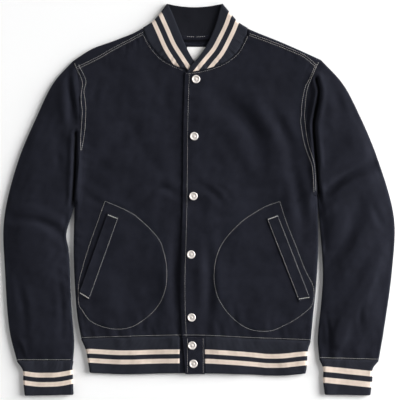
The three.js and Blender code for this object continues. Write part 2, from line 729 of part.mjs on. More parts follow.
/** One cuff, from the sleeve to the open end. */
function cuff(side) {
  const table = CUFFS[side];
  return tube({
    name: `cuff_${side}`,
    table,
    from: acrossRow(table[0], -SEAM),
    to: acrossRow(table[table.length - 1], 0),
    rows: shares(0, 1, 4),
    thickness: RIB,
    finish: RIB_NAVY,
    side,
    upper: shares(0, 1, 6).slice(1, -1),
    lower: shares(0, 1, 4).slice(1, -1),
  });
}

/** Strip of a band between its seam line and its free line, with a height for each place. */
function strip(seamLine, freeLine, startLine, endLine, across, up, height) {
  const seam = along(seamLine, across);
  const free = along(freeLine, across);
  const start = along(startLine, up);
  const end = along(endLine, up);
  [start[0], start[up.length - 1]] = [seam[0], free[0]];
  [end[0], end[up.length - 1]] = [seam[across.length - 1], free[across.length - 1]];
  return blend(seam, free, start, end, across, up).map((points) => points.map((point) => {
    point.z = height(point.x, point.y);
    return point;
  }));
}

/** Shares along a strip that ends at a fold, close together where it turns. */
function towardsFold(count, length) {
  const turn = ROLL_STEPS.map((step) => 1 - (step * ROLL) / length).reverse();
  return [...shares(0, turn[0], count), ...turn.slice(1)];
}

/** Joins strips side by side into one, each sharing its first column with the last one before. */
function joined(strips) {
  return strips[0].map((_, row) => strips.flatMap((grid, i) => (i ? grid[row].slice(1) : grid[row])));
}

/** A straight line between two places. */
function straight(a, b) {
  return new THREE.LineCurve3(new THREE.Vector3(a.x, a.y, 0), new THREE.Vector3(b.x, b.y, 0));
}

/** Turns a strip round, so that it runs the other way. */
function turned(grid) {
  return grid.map((points) => [...points].reverse());
}

/** The collar: right front, back and left front in one strip. */
function collar() {
  const up = shares(0, 1, 5);
  const lapRight = (x) => UNDERLAP * ease((x + 14 + LAP_FADE) / LAP_FADE);
  const lapLeft = (x) => COLLAR_OVERLAP * ease((6 + LAP_FADE - x) / LAP_FADE);
  const frontShares = towardsFold(9, COLLAR_LENGTH);
  const side = (seamRows, topRows, foldRows, lap) => strip(
    lineOf(seamRows), lineOf(topRows), straight(seamRows[0], topRows[0]), lineOf(foldRows),
    frontShares, up, (x, y) => upperZ(x, y, RIB, lap(x)),
  );
  const rollIn = ROLL_STEPS.map((step) => (step * ROLL) / COLLAR_LENGTH);
  const backShares = [...rollIn, ...shares(rollIn[3], 1 - rollIn[3], 8, false),
    ...rollIn.slice(0, 3).reverse().map((share) => 1 - share)];
  const neck = { getPointAt: (share) => shifted(onChain(neckChain, share), 0, SEAM) };
  const behind = strip(
    neck, lineOf(COLLAR_TOP_BACK), lineOf(COLLAR_FOLD_RIGHT), lineOf(COLLAR_FOLD_LEFT),
    backShares, up, (x, y) => lowerZ(x, y, RIB),
  );
  const right = side(COLLAR_SEAM_RIGHT, COLLAR_TOP_RIGHT, COLLAR_FOLD_RIGHT, lapRight);
  const left = turned(side(COLLAR_SEAM_LEFT, COLLAR_TOP_LEFT, COLLAR_FOLD_LEFT, lapLeft));
  return wall('collar', turned(joined([right, behind, left])), RIB, RIB_NAVY);
}

/** The hem band: right front, back and left front in one strip. */
function hemRib() {
  const up = shares(0, 1, 4);
  const bottomLine = lineOf(HEM_BOTTOM);
  const side = (name, edgeX) => {
    const [first, last] = [HEM_SIDE[0], HEM_SIDE[HEM_SIDE.length - 1]];
    const seamRows = [edgeX, (edgeX + first[`${name}X`]) / 2, first[`${name}X`]]
      .map((x) => ({ x, y: hemSeamY(x) - SEAM }));
    const bottomRows = [edgeX, (edgeX + last[`${name}X`]) / 2, last[`${name}X`]]
      .map((x) => ({ x, y: heightAt(bottomLine, x) }));
    return strip(
      lineOf(seamRows), lineOf(bottomRows), straight(seamRows[0], bottomRows[0]), lineOf(HEM_SIDE, name),
      towardsFold(7, HEM_FRONT_LENGTH), up, (x, y) => upperZ(x, y, RIB),
    );
  };
  const seamBack = lineOf(HEM_TOP.map((row) => ({ x: row.x, y: row.y - SEAM })));
  const rollIn = ROLL_STEPS.map((step) => (step * ROLL) / HEM_BACK_LENGTH);
  const backShares = [...rollIn, ...shares(rollIn[3], 1 - rollIn[3], 10, false),
    ...rollIn.slice(0, 3).reverse().map((share) => 1 - share)];
  const behind = strip(
    seamBack, bottomLine, lineOf(HEM_SIDE, 'right'), lineOf(HEM_SIDE, 'left'),
    backShares, up, (x, y) => lowerZ(x, y, RIB),
  );
  const right = side('right', TAB_UNDER.from - SEAM);
  const left = turned(side('left', TAB_OVER.to + SEAM));
  return wall('hem_rib', joined([right, behind, left]), RIB, RIB_NAVY);
}

/** A flat tab that closes an end of the hem band. */
function hemTab(name, tab, lap) {
  const across = shares(0, 1, 3);
  const up = shares(0, 1, 4);
  const grid = up.map((v) => across.map((u) => {
    const x = tab.from + (tab.slant ?? 0) * v * (1 - u) + (tab.to - tab.from) * u;
    const y = tab.top - SEAM + (tab.bottom - tab.top) * v;
    return new THREE.Vector3(x, y, upperZ(x, y, CLOTH, lap));
  }));
  return wall(name, turned(grid), CLOTH, NAVY);
}

/** Highest place of a set of meshes under a round footprint, looking down from a height. */
function topOf(meshes, x, y, radius, from) {
  const down = new THREE.Vector3(0, 0, -1);
  const round = shares(0, 2 * Math.PI, ROUND_POINTS, false)
    .map((turn) => [x + radius * Math.cos(turn), y + radius * Math.sin(turn)]);
  const heights = [[x, y], ...round].map(([px, py]) => {
    const ray = new THREE.Raycaster(new THREE.Vector3(px, py, from), down);
    return ray.intersectObjects(meshes)[0]?.point.z ?? 0;
  });
  return Math.max(...heights);
}

/** Thin piece that lies on others: their top, moved out, and its own thickness. */
function laid(name, places, carriers, thickness, finish, from = ABOVE_ALL) {
  const grid = places.map((row) => row.map(([x, y]) => new THREE.Vector3(
    x, y, topOf(carriers, x, y, FOOTPRINT, from) + LIFT_OFF + thickness / 2,
  )));
  return wall(name, grid, thickness, finish);
}

/** A slanted pocket welt on a front. */
function welt({ name, topX, topY, endX, endY, width }, carrier) {
  const slant = new THREE.Vector2(endX - topX, endY - topY);
  const crosswise = new THREE.Vector2(-slant.y, slant.x).setLength(width);
  const places = shares(0, 1, 12).map((v) => shares(-0.5, 0.5, 3).map((u) => [
    topX + slant.x * v + crosswise.x * u,
    topY + slant.y * v + crosswise.y * u,
  ]));
  return laid(name, places.map((row) => [...row].reverse()).reverse(), [carrier], WELT, NAVY);
}

/** A snap cap: a low round cap with a rolled rim and a small raised middle. */
function snapCap(number, { x, y }, carriers) {
  const { radius, rim, height, dish } = SNAP;
  const profile = [
    [0, 0],
    [radius - rim, 0],
    [radius, rim * 0.8],
    [radius, height - rim * 0.9],
    [radius - rim * 0.9, height],
    [radius - rim * 2.2, height - dish],
    [radius * 0.26, height - dish],
    [radius * 0.18, height - dish * 0.3],
    [0, height - dish * 0.2],
  ].map(([r, z]) => new THREE.Vector2(r, z));
  const cap = new THREE.LatheGeometry(profile, CAP_SIDES).rotateX(Math.PI / 2);
  const mesh = place(`snap_cap_${number}`, cap, SNAP_METAL);
  mesh.position.set(x, y, topOf(carriers, x, y, radius, ABOVE_ALL) + LIFT_OFF);
  return mesh;
}

/** Band that follows a line on the lower layer, a given width to each side. */
function band(name, line, halfWidth, count, carriers, finish) {
  const places = shares(0, 1, count).map((share) => {
    const [at, way] = [line.getPointAt(share), line.getTangentAt(share)];
    return shares(-1, 1, 2).map((side) => [at.x + way.y * side * halfWidth, at.y - way.x * side * halfWidth]);
  });
  return laid(name, places, carriers, TAPE, finish, INSIDE);
}

const fronts = { right: front('right'), left: front('left') };
const backPanel = back();
['right', 'left'].forEach((side) => {
  sleeve(side);
  cuff(side);
});
const collarStrip = collar();
hemRib();
hemTab('hem_tab_under', TAB_UNDER, UNDERLAP);
const overTab = hemTab('hem_tab_over', TAB_OVER, OVERLAP);
welt(WELTS[0], fronts.right);
welt(WELTS[1], fronts.left);
SNAPS.forEach((snap, i) => snapCap(i + 1, snap, [fronts.left, overTab]));

const neckRows = BACK_NECK.filter((row) => row.x > NECK_TAPE.from - 10 && row.x < NECK_TAPE.to + 10);
const inner = [backPanel, collarStrip];
band('neck_tape', lineOf(neckRows), NECK_TAPE.halfWidth, 10, inner, NAVY);
const loopY = BACK_NECK[3].y - HANGER_LOOP.drop;
const loopLine = lineOf([
  { x: HANGER_LOOP.from, y: loopY },
  { x: 0, y: loopY - HANGER_LOOP.sag / 2 },
  { x: HANGER_LOOP.to, y: loopY },
]);
band('hanger_loop', loopLine, HANGER_LOOP.halfWidth, 8, [backPanel], NAVY);
laid(
  'neck_label',
  [LABEL.bottom, LABEL.top].map((y) => [[-LABEL.halfWidth, y], [LABEL.halfWidth, y]]),
  [backPanel], TAPE, LABEL_WHITE, INSIDE,
);

export default jacket;
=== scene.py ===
"""Varsity jacket lying flat on its back: cloth, rib, sewing and snaps in fine detail.

Places are in millimetres while a piece is laid out, and become metres in its mesh. Right and
left are the wearer's, so right is at -X and left is at +X, and the neck is towards +Y.
"""

import logging
import math
from dataclasses import dataclass, field
from enum import Enum
from typing import Any, Callable, Optional, Sequence

import bpy
import numpy as np
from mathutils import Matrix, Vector
from mathutils.bvhtree import BVHTree

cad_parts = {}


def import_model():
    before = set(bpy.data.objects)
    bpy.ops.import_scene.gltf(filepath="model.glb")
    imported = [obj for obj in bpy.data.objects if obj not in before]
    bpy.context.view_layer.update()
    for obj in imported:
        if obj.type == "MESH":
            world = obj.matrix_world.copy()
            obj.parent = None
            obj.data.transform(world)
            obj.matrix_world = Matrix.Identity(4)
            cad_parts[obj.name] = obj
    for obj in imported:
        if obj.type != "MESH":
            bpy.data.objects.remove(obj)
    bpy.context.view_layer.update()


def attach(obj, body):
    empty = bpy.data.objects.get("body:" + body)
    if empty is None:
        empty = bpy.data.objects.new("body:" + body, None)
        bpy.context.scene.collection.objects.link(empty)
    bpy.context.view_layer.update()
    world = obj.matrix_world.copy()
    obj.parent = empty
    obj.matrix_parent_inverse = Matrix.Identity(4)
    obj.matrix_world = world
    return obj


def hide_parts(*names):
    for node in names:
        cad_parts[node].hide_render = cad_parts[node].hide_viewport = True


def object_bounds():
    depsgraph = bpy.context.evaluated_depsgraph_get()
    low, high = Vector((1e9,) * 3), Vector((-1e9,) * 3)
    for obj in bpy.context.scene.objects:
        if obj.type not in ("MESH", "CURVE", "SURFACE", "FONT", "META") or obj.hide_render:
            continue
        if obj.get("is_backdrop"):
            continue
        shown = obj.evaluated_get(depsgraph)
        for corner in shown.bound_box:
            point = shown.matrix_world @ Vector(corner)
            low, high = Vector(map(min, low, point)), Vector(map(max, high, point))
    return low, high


LOG = logging.getLogger("jacket")
METRES = 0.001

# Walls and layers
CLOTH = 1.7
RIB = 2.6
TAPE = 1.0
WELT = 1.7
UPPER = 6.0           # middle of the front layer
MIDDLE = 3.5          # outermost line of a folded edge
SWELL = 1.0           # extra height of the front layer beside a folded edge of the body
SWELL_WIDTH = 26.0
PILLOW = 4.2          # extra height of a sleeve's front layer away from its folded edges
PILLOW_WIDTH = 46.0
ROLL = 3.4            # width of the round of a folded edge
UNDERLAP = -1.0       # the right front sinks by this under the left one
OVERLAP = 1.3         # the left front rises by this over the right one
COLLAR_OVERLAP = 2.2
LAP_FADE = 34.0
FOLD_EDGE = 16.0      # creases fade out over this distance from a folded edge
VALLEY_SCALE = 2.6    # how much deeper a valley lies than its rise in the tables says
RIDGE_SCALE = 2.5     # how much higher a ridge stands
HIGHEST = 12.0        # above this height its folds are held down
LOWEST = 3.0          # middle of the front layer where it comes nearest to the back
DETAIL_EDGE = 7.0     # finer relief fades out over this one
UNWORN = 8.0          # stands for the distance from an edge where no edge is worn
SLACK = 0.8           # height of the slow waves of the loose cloth
SLACK_SIZE = 105.0
SLEEVE_FROM = (228.0, 16.0)    # where a sleeve starts across, and over what width
SLEEVE_TO = (-318.0, 40.0)     # where it ends at the cuff
GAP_SHADE = 3.4       # half width of the shade in an armhole gap

# Gaps between pieces
SEAM = 0.12
SIDE_SEAM = 0.14
ARMHOLE_END_GAP = 0.4
ARMHOLE_END_REACH = 9.0
NECK_CORNER = 1.6
LIFT = 0.12           # air under a piece that is sewn on another

ABOVE_ALL = 60.0
INSIDE = 3.9          # a height between the two layers
CHAIN_STEPS = 40
CHUNK = 3000

Array = np.ndarray
Piece = bpy.types.Object
Material = bpy.types.Material
Socket = Any          # an output of a node, or one of its inputs
Rows = Sequence[Sequence[float]]
Heights = Callable[[Array], Array]


class Side(Enum):
    """The wearer's side, whose value is the sign of X."""

    RIGHT = -1
    LEFT = 1


class Border(Enum):
    """How closely a grid is divided where it ends."""

    PLAIN = "plain"
    CUT = "cut"
    SEAM = "seam"
    FOLD = "fold"
    SIDE = "side"


class Layer(Enum):
    """The layer of the flat jacket that faces up, or the one that rests on the surface."""

    UPPER = "upper"
    LOWER = "lower"


TURN_STEPS = tuple(ROLL * (1 - math.cos(math.radians(15 * step))) for step in range(7))
CUT_STEPS = (0.0, 0.08, 0.28, 0.6, 1.1)
BAND_STEPS = (4.4, 5.6, 6.8, 8.0, 9.2, 10.4, 11.8)
BORDER_STEPS = {
    Border.PLAIN: (0.0,),
    Border.CUT: CUT_STEPS,
    Border.SEAM: CUT_STEPS + (1.9, 2.9) + BAND_STEPS,
    Border.FOLD: TURN_STEPS,
    Border.SIDE: TURN_STEPS + BAND_STEPS,
}

# Side and armhole edges of the body, from the hem to the tip of the shoulder
BODY_EDGE = {
    Side.RIGHT: ((-224, -268), (-231, -230), (-236, -170), (-238.8, -100), (-238, -52), (-237, -6),
                 (-230.3, 58), (-227, 125), (-226.8, 195), (-229.5, 240), (-232, 253), (-240, 270)),
    Side.LEFT: ((222, -272), (226, -228), (232, -170), (236, -105), (236.3, -50), (235, 8),
                (231.7, 68), (218, 127), (214.5, 185), (222, 230), (232.5, 256), (242, 272)),
}
UNDERARM_ROW = 5
SHOULDER_SEAM_ROW = 10

# Shoulders from the tip to the neck: the folded edge, and the seam on the front
SHOULDER = {
    Side.RIGHT: ((-240, 270), (-204, 293), (-161, 309), (-122, 324.5), (-104, 334)),
    Side.LEFT: ((242, 272), (198, 292), (161, 308), (122, 323.5), (99.5, 333)),
}
SHOULDER_SEAM = {
    Side.RIGHT: ((-232, 253), (-189, 274), (-158, 292), (-128.7, 307), (-101, 322)),
    Side.LEFT: ((232.5, 256), (209, 276), (176, 291), (143, 304), (98, 320)),
}

# Front neck seam from the shoulder seam to the front edge of each front
NECK_SEAM = {
    Side.RIGHT: ((-101, 322), (-90, 301), (-67, 275), (-36, 258.5), (-8, 250), (16, 248.5)),
    Side.LEFT: ((98, 320), (82, 290), (56, 268), (20.5, 254.5), (-4, 249.5), (-22.4, 248)),
}
FRONT_EDGE = {
    Side.RIGHT: ((14, -266), (13, -150), (13, 20), (15, 150), (16, 248.5)),
    Side.LEFT: ((-28.5, -266), (-31, -180), (-27, 0), (-25.3, 160), (-22.4, 248)),
}
BACK_NECK = ((-104, 334), (-86, 322.5), (-52, 315.5), (-3, 313.5), (46, 316.5), (82, 323), (99.5, 333))

# Sleeve and cuff edges: the inner line and the outer one, towards the hand
SLEEVE_INNER = {
    Side.RIGHT: ((-237, -6), (-243, -27), (-254.5, -67), (-249.5, -100), (-246.7, -152),
                 (-244.5, -205), (-239, -276), (-241, -313)),
    Side.LEFT: ((235, 8), (238.5, -26), (242, -66), (245.3, -105), (247, -150),
                (244, -197), (237, -272), (240, -309)),
}
SLEEVE_OUTER = {
    Side.RIGHT: ((-240, 270), (-278, 227), (-313, 156), (-347, 74), (-374, -38),
                 (-372, -142), (-363, -256), (-349, -313)),
    Side.LEFT: ((242, 272), (284, 226), (317, 164), (352, 80), (384, -36),
                (381, -128), (364, -254), (354, -312)),
}
CUFF_INNER = {
    Side.RIGHT: ((-241, -313), (-243, -328), (-242, -350), (-241, -379)),
    Side.LEFT: ((240, -309), (248, -328), (248, -352), (251.5, -379)),
}
CUFF_OUTER = {
    Side.RIGHT: ((-349, -313), (-337, -331), (-336, -352), (-333, -381)),
    Side.LEFT: ((354, -312), (342, -328), (341, -350), (337, -380)),
}

# Collar from the front end to the fold beside the neck, and its top edge behind the neck
COLLAR_SEAM = {
    Side.RIGHT: ((6, 252.8), (-8, 251.8), (-36, 259.4), (-67, 276), (-89.5, 302), (-100.5, 323),
                 (-103.5, 334.6)),
    Side.LEFT: ((-18, 249), (-4, 250.5), (20, 255.4), (56, 269), (81.2, 291), (97.4, 321), (99, 333.6)),
}
COLLAR_TOP = {
    Side.RIGHT: ((5, 263.5), (-4, 270), (-18.5, 294.5), (-33, 328.5), (-45, 358), (-56, 382)),
    Side.LEFT: ((-12, 260.5), (2, 276), (18.5, 298.5), (33.5, 330), (42, 356), (49, 382)),
}
COLLAR_STRIPE = {      # middle of the inner stripe, carried on at both ends
    Side.RIGHT: ((-80, 383), (-69.6, 360.2), (-57.5, 333.5), (-43.9, 303), (-28.3, 278.1), (-15.4, 258.2),
                 (-1.8, 237.2)),
    Side.LEFT: ((73.2, 383.7), (64.7, 360.2), (57.5, 340.3), (45.8, 315.9), (34.1, 294.5), (18.5, 275.5),
                (3.9, 257.4), (-11.8, 238)),
}
COLLAR_FOLD = {
    Side.RIGHT: ((-103.5, 334.6), (-84, 347), (-70, 363), (-56, 382)),
    Side.LEFT: ((99, 333.6), (80, 346), (65, 363), (49, 382)),
}
COLLAR_TOP_BACK = ((-56, 382), (-32, 377.5), (-3, 375.6), (26, 377.8), (49, 382))

# Hem band
HEM_SIDE = {
    Side.RIGHT: ((-223.5, -270), (-214, -292), (-209.5, -317), (-206.5, -336)),
    Side.LEFT: ((221.5, -274), (215.2, -294), (213.7, -322), (211, -338)),
}
HEM_BOTTOM = ((-206.5, -336), (-150, -339), (-30, -337), (90, -339), (160, -342), (211, -338))
HEM_TOP = ((-223.5, -270), (-108, -266.5), (0, -265), (110, -270), (221.5, -274))
TAB_UNDER_FROM = -33.0
TAB_OVER_TO = 16.0
HEM_STRIPE_DROP = ((30, 135, 211), (0, 4.6, 3))    # x, and how far the stripes sink there

# Creases of the front layer, each along a line through three places: x0, y0, x1, y1, x2, y2,
# width, rise. A negative rise is a valley between two low banks, and a positive one a ridge.
MAIN_CREASES = (
    (32, 205, 102, 148, 128, 78, 27, -1.9),
    (137, 181, 165, 140, 188, 88, 18, -1.4),
    (-124, 138, -160, 110, -198, 84, 24, -1.2),
    (-36, -40, -42, -150, -36, -257, 16, -1.5),
    (18, -70, 26, -160, 20, -257, 15, -1.4),
    (-124, -9, -71, 26, -28, 9, 14, -1.0),
    (5, 30, 35, 12, 50, -8, 12, -1.0),
    (180, 88, 200, 0, 206, -78, 16, -1.2),
    (-251, 250, -245, 200, -240, 130, 12, -2.0),
    (-252, -70, -305, -43, -360, -35, 16, -2.0),
    (352, 70, 292, 47, 243, 8, 19, -4.6),
    (362, -96, 322, -178, 289, -238, 13, 3.4),
    (293, -222, 281, -255, 271, -300, 11, 3.8),
    (318, -10, 296, -70, 262, -120, 24, -1.8),
    (-330, 40, -322, -70, -318, -190, 34, 1.2),
    (300, 150, 318, 90, 330, 50, 30, 1.4),
)
# Gaps between the body and the sleeves, where both roll away from each other
GAPS = (
    (((-235, 130), (-236, 100), (-237, 60), (-239, 22), (-241, -8)), 6.4, -2.6),
    (((233, 235), (237.5, 215), (236.5, 196), (232, 170), (228, 148), (230, 117), (233.5, 78), (236, 39), (238, 4)),
     6.4, -2.6),
)
SMALL_CREASES = (
    (229, 250, 234, 220, 224, 150, 5, 0.9),
    (234, 238, 240, 208, 226, 147, 5, -1.8),
    (-249, 252, -245, 220, -236, 158, 6, -1.1),
    (-104, 6, -68, 22, -30, 4, 9, -0.6),
    (28, 35, 50, 21, 67, 4, 9, -0.6),
    (-272, 101, -268, 80, -264, 58, 10, -0.7),
    (251, -220, 258, -259, 258, -298, 6, -0.8),
    (-350, -264, -337, -284, -330, -309, 4.6, 1.5),
    (-189, 234, -199, 204, -204, 178, 12, -0.8),
    (-225, 20, -190, -5, -150, -20, 10, -0.7),
    (225, 25, 195, 0, 160, -15, 9, -0.6),
    (-228, -205, -222, -232, -220, -258, 8, -0.6),
    (-300, 180, -318, 120, -330, 60, 14, 0.9),
    (-350, -150, -336, -210, -330, -270, 11, -0.9),
    (-270, -140, -262, -200, -262, -270, 10, -0.9),
    (-250, -95, -275, -105, -300, -125, 8, -0.7),
    (-345, -20, -320, -5, -300, -8, 9, -0.6),
    (262, -140, 300, -120, 330, -118, 10, -0.7),
    (245, -15, 275, 5, 300, 6, 9, -0.8),
    (372, -60, 350, -30, 338, 10, 11, -0.8),
    (70, -262, 74, -225, 66, -190, 9, -0.6),
    (150, -262, 143, -238, 147, -215, 8, -0.5),
    (-110, -262, -104, -232, -112, -212, 8, -0.6),
    (-170, 230, -150, 180, -160, 130, 20, 0.7),
    (90, 240, 110, 200, 150, 160, 18, 0.7),
    (60, 100, 90, 60, 84, 10, 20, -0.7),
    (-100, 90, -70, 50, -66, 0, 18, -0.6),
    (-55, 230, -60, 195, -50, 160, 14, -0.6),
    (262, 222, 276, 190, 280, 150, 13, -0.8),
    (330, -170, 318, -215, 322, -262, 9, -0.8),
)

# Dents of the layer that rests on the surface, in the same columns, each rising off the surface
BACK_CREASES = (
    (-60, 280, -72, 180, -55, 60, 16, 1.1),
    (80, 245, 60, 120, 85, -20, 14, 1.0),
    (-180, 150, -150, 20, -176, -120, 18, 0.9),
    (150, -60, 122, -150, 135, -250, 13, 1.2),
    (-90, -120, -70, -200, -86, -255, 11, 1.0),
    (-200, -180, -60, -165, 40, -186, 10, 0.8),
    (60, 60, 140, 82, 212, 66, 12, 0.9),
    (-20, 290, 4, 210, -10, 120, 20, 0.7),
    (-291, 180, -312, 60, -322, -60, 15, 1.1),
    (-268, -120, -300, -196, -286, -292, 11, 1.0),
    (288, 172, 312, 60, 326, -52, 16, 1.1),
    (332, -118, 294, -204, 302, -290, 12, 1.0),
    (-350, -60, -300, -40, -262, -58, 9, 0.9),
    (360, 30, 310, 44, 250, 24, 9, 1.0),
)


def ease(value: Array) -> Array:
    """Rises smoothly from 0 to 1 as the value goes from 0 to 1."""
    t = np.clip(value, 0, 1)
    return t * t * (3 - 2 * t)


def measure(places: Array, starts: Array, ways: Array) -> tuple[Array, ...]:
    """Measures places from a set of straight steps.

    Args:
        places: Points, with x and y last.
        starts: Where each step starts.
        ways: The way from each step's start to its end.

    Returns:
        Distance to the nearest step, its number with the share of it that was passed, and the
        side of it that the place is on.
    """
    flat = places[..., :2].reshape(-1, 2)
    squared = (ways ** 2).sum(1)
    found = []
    for first in range(0, len(flat), CHUNK):
        away = flat[first:first + CHUNK, None] - starts[None]
        share = np.clip((away * ways).sum(-1) / squared, 0, 1)
        gap = away - share[..., None] * ways
        distance = np.hypot(gap[..., 0], gap[..., 1])
        step = distance.argmin(1)
        row = np.arange(len(step))
        cross = ways[step, 0] * away[row, step, 1] - ways[step, 1] * away[row, step, 0]
        found.append((distance[row, step], step + share[row, step], np.sign(cross)))
    shape = places.shape[:-1]
    return tuple(np.concatenate(part).reshape(shape) for part in zip(*found))


@dataclass(frozen=True)
class Line:
    """A smooth line on the surface, read by shares of its length."""

    points: Array
    reach: Array

    @staticmethod
    def of(points: Array) -> "Line":
        """A line through places that are already close together."""
        steps = np.linalg.norm(np.diff(points, axis=0), axis=1)
        return Line(points, np.concatenate([[0.0], np.cumsum(steps)]))

    @staticmethod
    def through(rows: Rows, steps: int = 24) -> "Line":
        """Smooth line through the rows of a table.

        Args:
            rows: x and y of each place.
            steps: Places made between two rows.

        Returns:
            The line, which keeps even speed where the rows are unevenly spaced.
        """
        rows = np.array(rows, float)
        rows = np.vstack([2 * rows[0] - rows[1], rows, 2 * rows[-1] - rows[-2]])
        t = np.linspace(0, 1, steps, endpoint=False)[:, None]
        pieces = []
        for a, b, c, d in zip(rows, rows[1:], rows[2:], rows[3:]):
            before, here, after = (math.sqrt(np.linalg.norm(q - p)) for p, q in ((a, b), (b, c), (c, d)))
            out = ((b - a) / before - (c - a) / (before + here) + (c - b) / here) * here
            into = ((c - b) / here - (d - b) / (here + after) + (d - c) / after) * here
            pieces.append(b + out * t + (3 * (c - b) - 2 * out - into) * t ** 2
                          + (2 * (b - c) + out + into) * t ** 3)
        return Line.of(np.vstack(pieces + [rows[-2][None]]))

    @property
    def length(self) -> float:
        """Length of the line."""
        return float(self.reach[-1])

    def at(self, shares: Array) -> Array:
        """Places at shares of the length."""
        reach = np.clip(shares, 0, 1) * self.length
        return np.stack([np.interp(reach, self.reach, self.points[:, axis]) for axis in (0, 1)], -1)

    def chain(self, steps: int = CHAIN_STEPS) -> tuple[Array, Array]:
        """Starts and ways of the straight steps that stand for the line when measuring from it."""
        points = self.at(np.linspace(0, 1, steps + 1))
        return points[:-1], np.diff(points, axis=0)

    def measure(self, places: Array) -> tuple[Array, Array, Array]:
        """Distance of places from the line, how far along it they are, and their side of it."""
        distance, step, side = measure(places, *self.chain())
        return distance, step * self.length / CHAIN_STEPS, side

    def share_of(self, place: Sequence[float]) -> float:
        """Share of the length at the line's nearest point to a place."""
        return float(measure(np.array([place], float), *self.chain(400))[1][0]) / 400

    def y_at(self, x: Array) -> Array:
        """The y of a line that runs towards +X, where it passes an x."""
        return np.interp(x, self.points[:, 0], self.points[:, 1])

    def moved(self, dx: float, dy: float) -> "Line":
        """The same line, moved."""
        return Line(self.points + (dx, dy), self.reach)

    def closer(self, gap: float) -> "Line":
        """The same straight line beside itself, for a row that is sewn twice."""
        way = (self.points[-1] - self.points[0]) / self.length
        return self.moved(-way[1] * gap, way[0] * gap)


def stations(length: float, step: float, first: Border, last: Border) -> Array:
    """Shares along a length, closer together at its borders.

    Args:
        length: The length that is divided.
        step: Distance between two stations away from the borders.
        first: The border at the start.
        last: The border at the end.

    Returns:
        Shares from 0 to 1.
    """
    start = np.array(BORDER_STEPS[first])
    end = length - np.array(BORDER_STEPS[last])[::-1]
    count = max(round((end[0] - start[-1]) / step), 1)
    middle = np.linspace(start[-1], end[0], count + 1)[1:-1]
    return np.concatenate([start, middle, end]) / length


def waves(places: Array, size: float, seed: int, count: int = 14) -> Array:
    """Uneven low waves, about 1 high.

    Args:
        places: Points, with x and y last.
        size: Usual length of a wave.
        seed: Number that fixes the waves.
        count: How many are added up.

    Returns:
        Height at each place.
    """
    draw = np.random.default_rng(seed)
    total = np.zeros(places.shape[:-1])
    for _ in range(count):
        turn, length, phase = draw.uniform(0, math.pi), size * draw.uniform(0.6, 1.8), draw.uniform(0, 6.3)
        across = places[..., 0] * math.cos(turn) + places[..., 1] * math.sin(turn)
        total += np.cos(across * 2 * math.pi / length + phase)
    return total / math.sqrt(count / 2)


def ripples(reach: Array, size: float, seed: int) -> Array:
    """Uneven puckers along a seam, about 1 high, at distances along it.

    Args:
        reach: Distances along the seam.
        size: Usual distance between two puckers.
        seed: Seed of their places.

    Returns:
        Height at each distance.
    """
    draw = np.random.default_rng(seed)
    total = np.zeros_like(reach)
    for length, phase in zip(size * draw.uniform(0.6, 1.7, 7), draw.uniform(0, 6.3, 7)):
        total += np.cos(reach * 2 * math.pi / length + phase)
    return total / 1.9


@dataclass(frozen=True)
class SeamRelief:
    """What a sewn seam does to the cloth beside it: a pressed band, furrows and puckers."""

    line: Line
    seed: int
    rise: float = 0.5
    band: float = 12.0
    furrows: tuple[float, ...] = (3.0, 9.5)
    pucker: float = 0.35
    spacing: float = 15.0
    reach: float = 15.0
    slant: float = 0.4

    def height(self, places: Array) -> Array:
        """Height added at places near the seam.

        Args:
            places: Points, with x and y last.

        Returns:
            Height at each place.
        """
        distance, reach, _ = self.line.measure(places)
        band = self.rise * (1 - ease((distance - self.band + 1.2) / 2.4))
        furrows = sum(0.3 * np.exp(-((distance - offset) / 1.1) ** 2) for offset in self.furrows)
        fade = np.exp(-((distance / self.reach) ** 2))
        return band - furrows + self.pucker * fade * ripples(reach + self.slant * distance, self.spacing, self.seed)


def folds(table: Rows, share: float = 1.0) -> tuple[tuple[Any, ...], ...]:
    """Rows of a table of creases, as the places of each one's line with its width and a share of its rise."""
    return tuple((((x0, y0), (x1, y1), (x2, y2)), width, rise * share)
                 for x0, y0, x1, y1, x2, y2, width, rise in table)


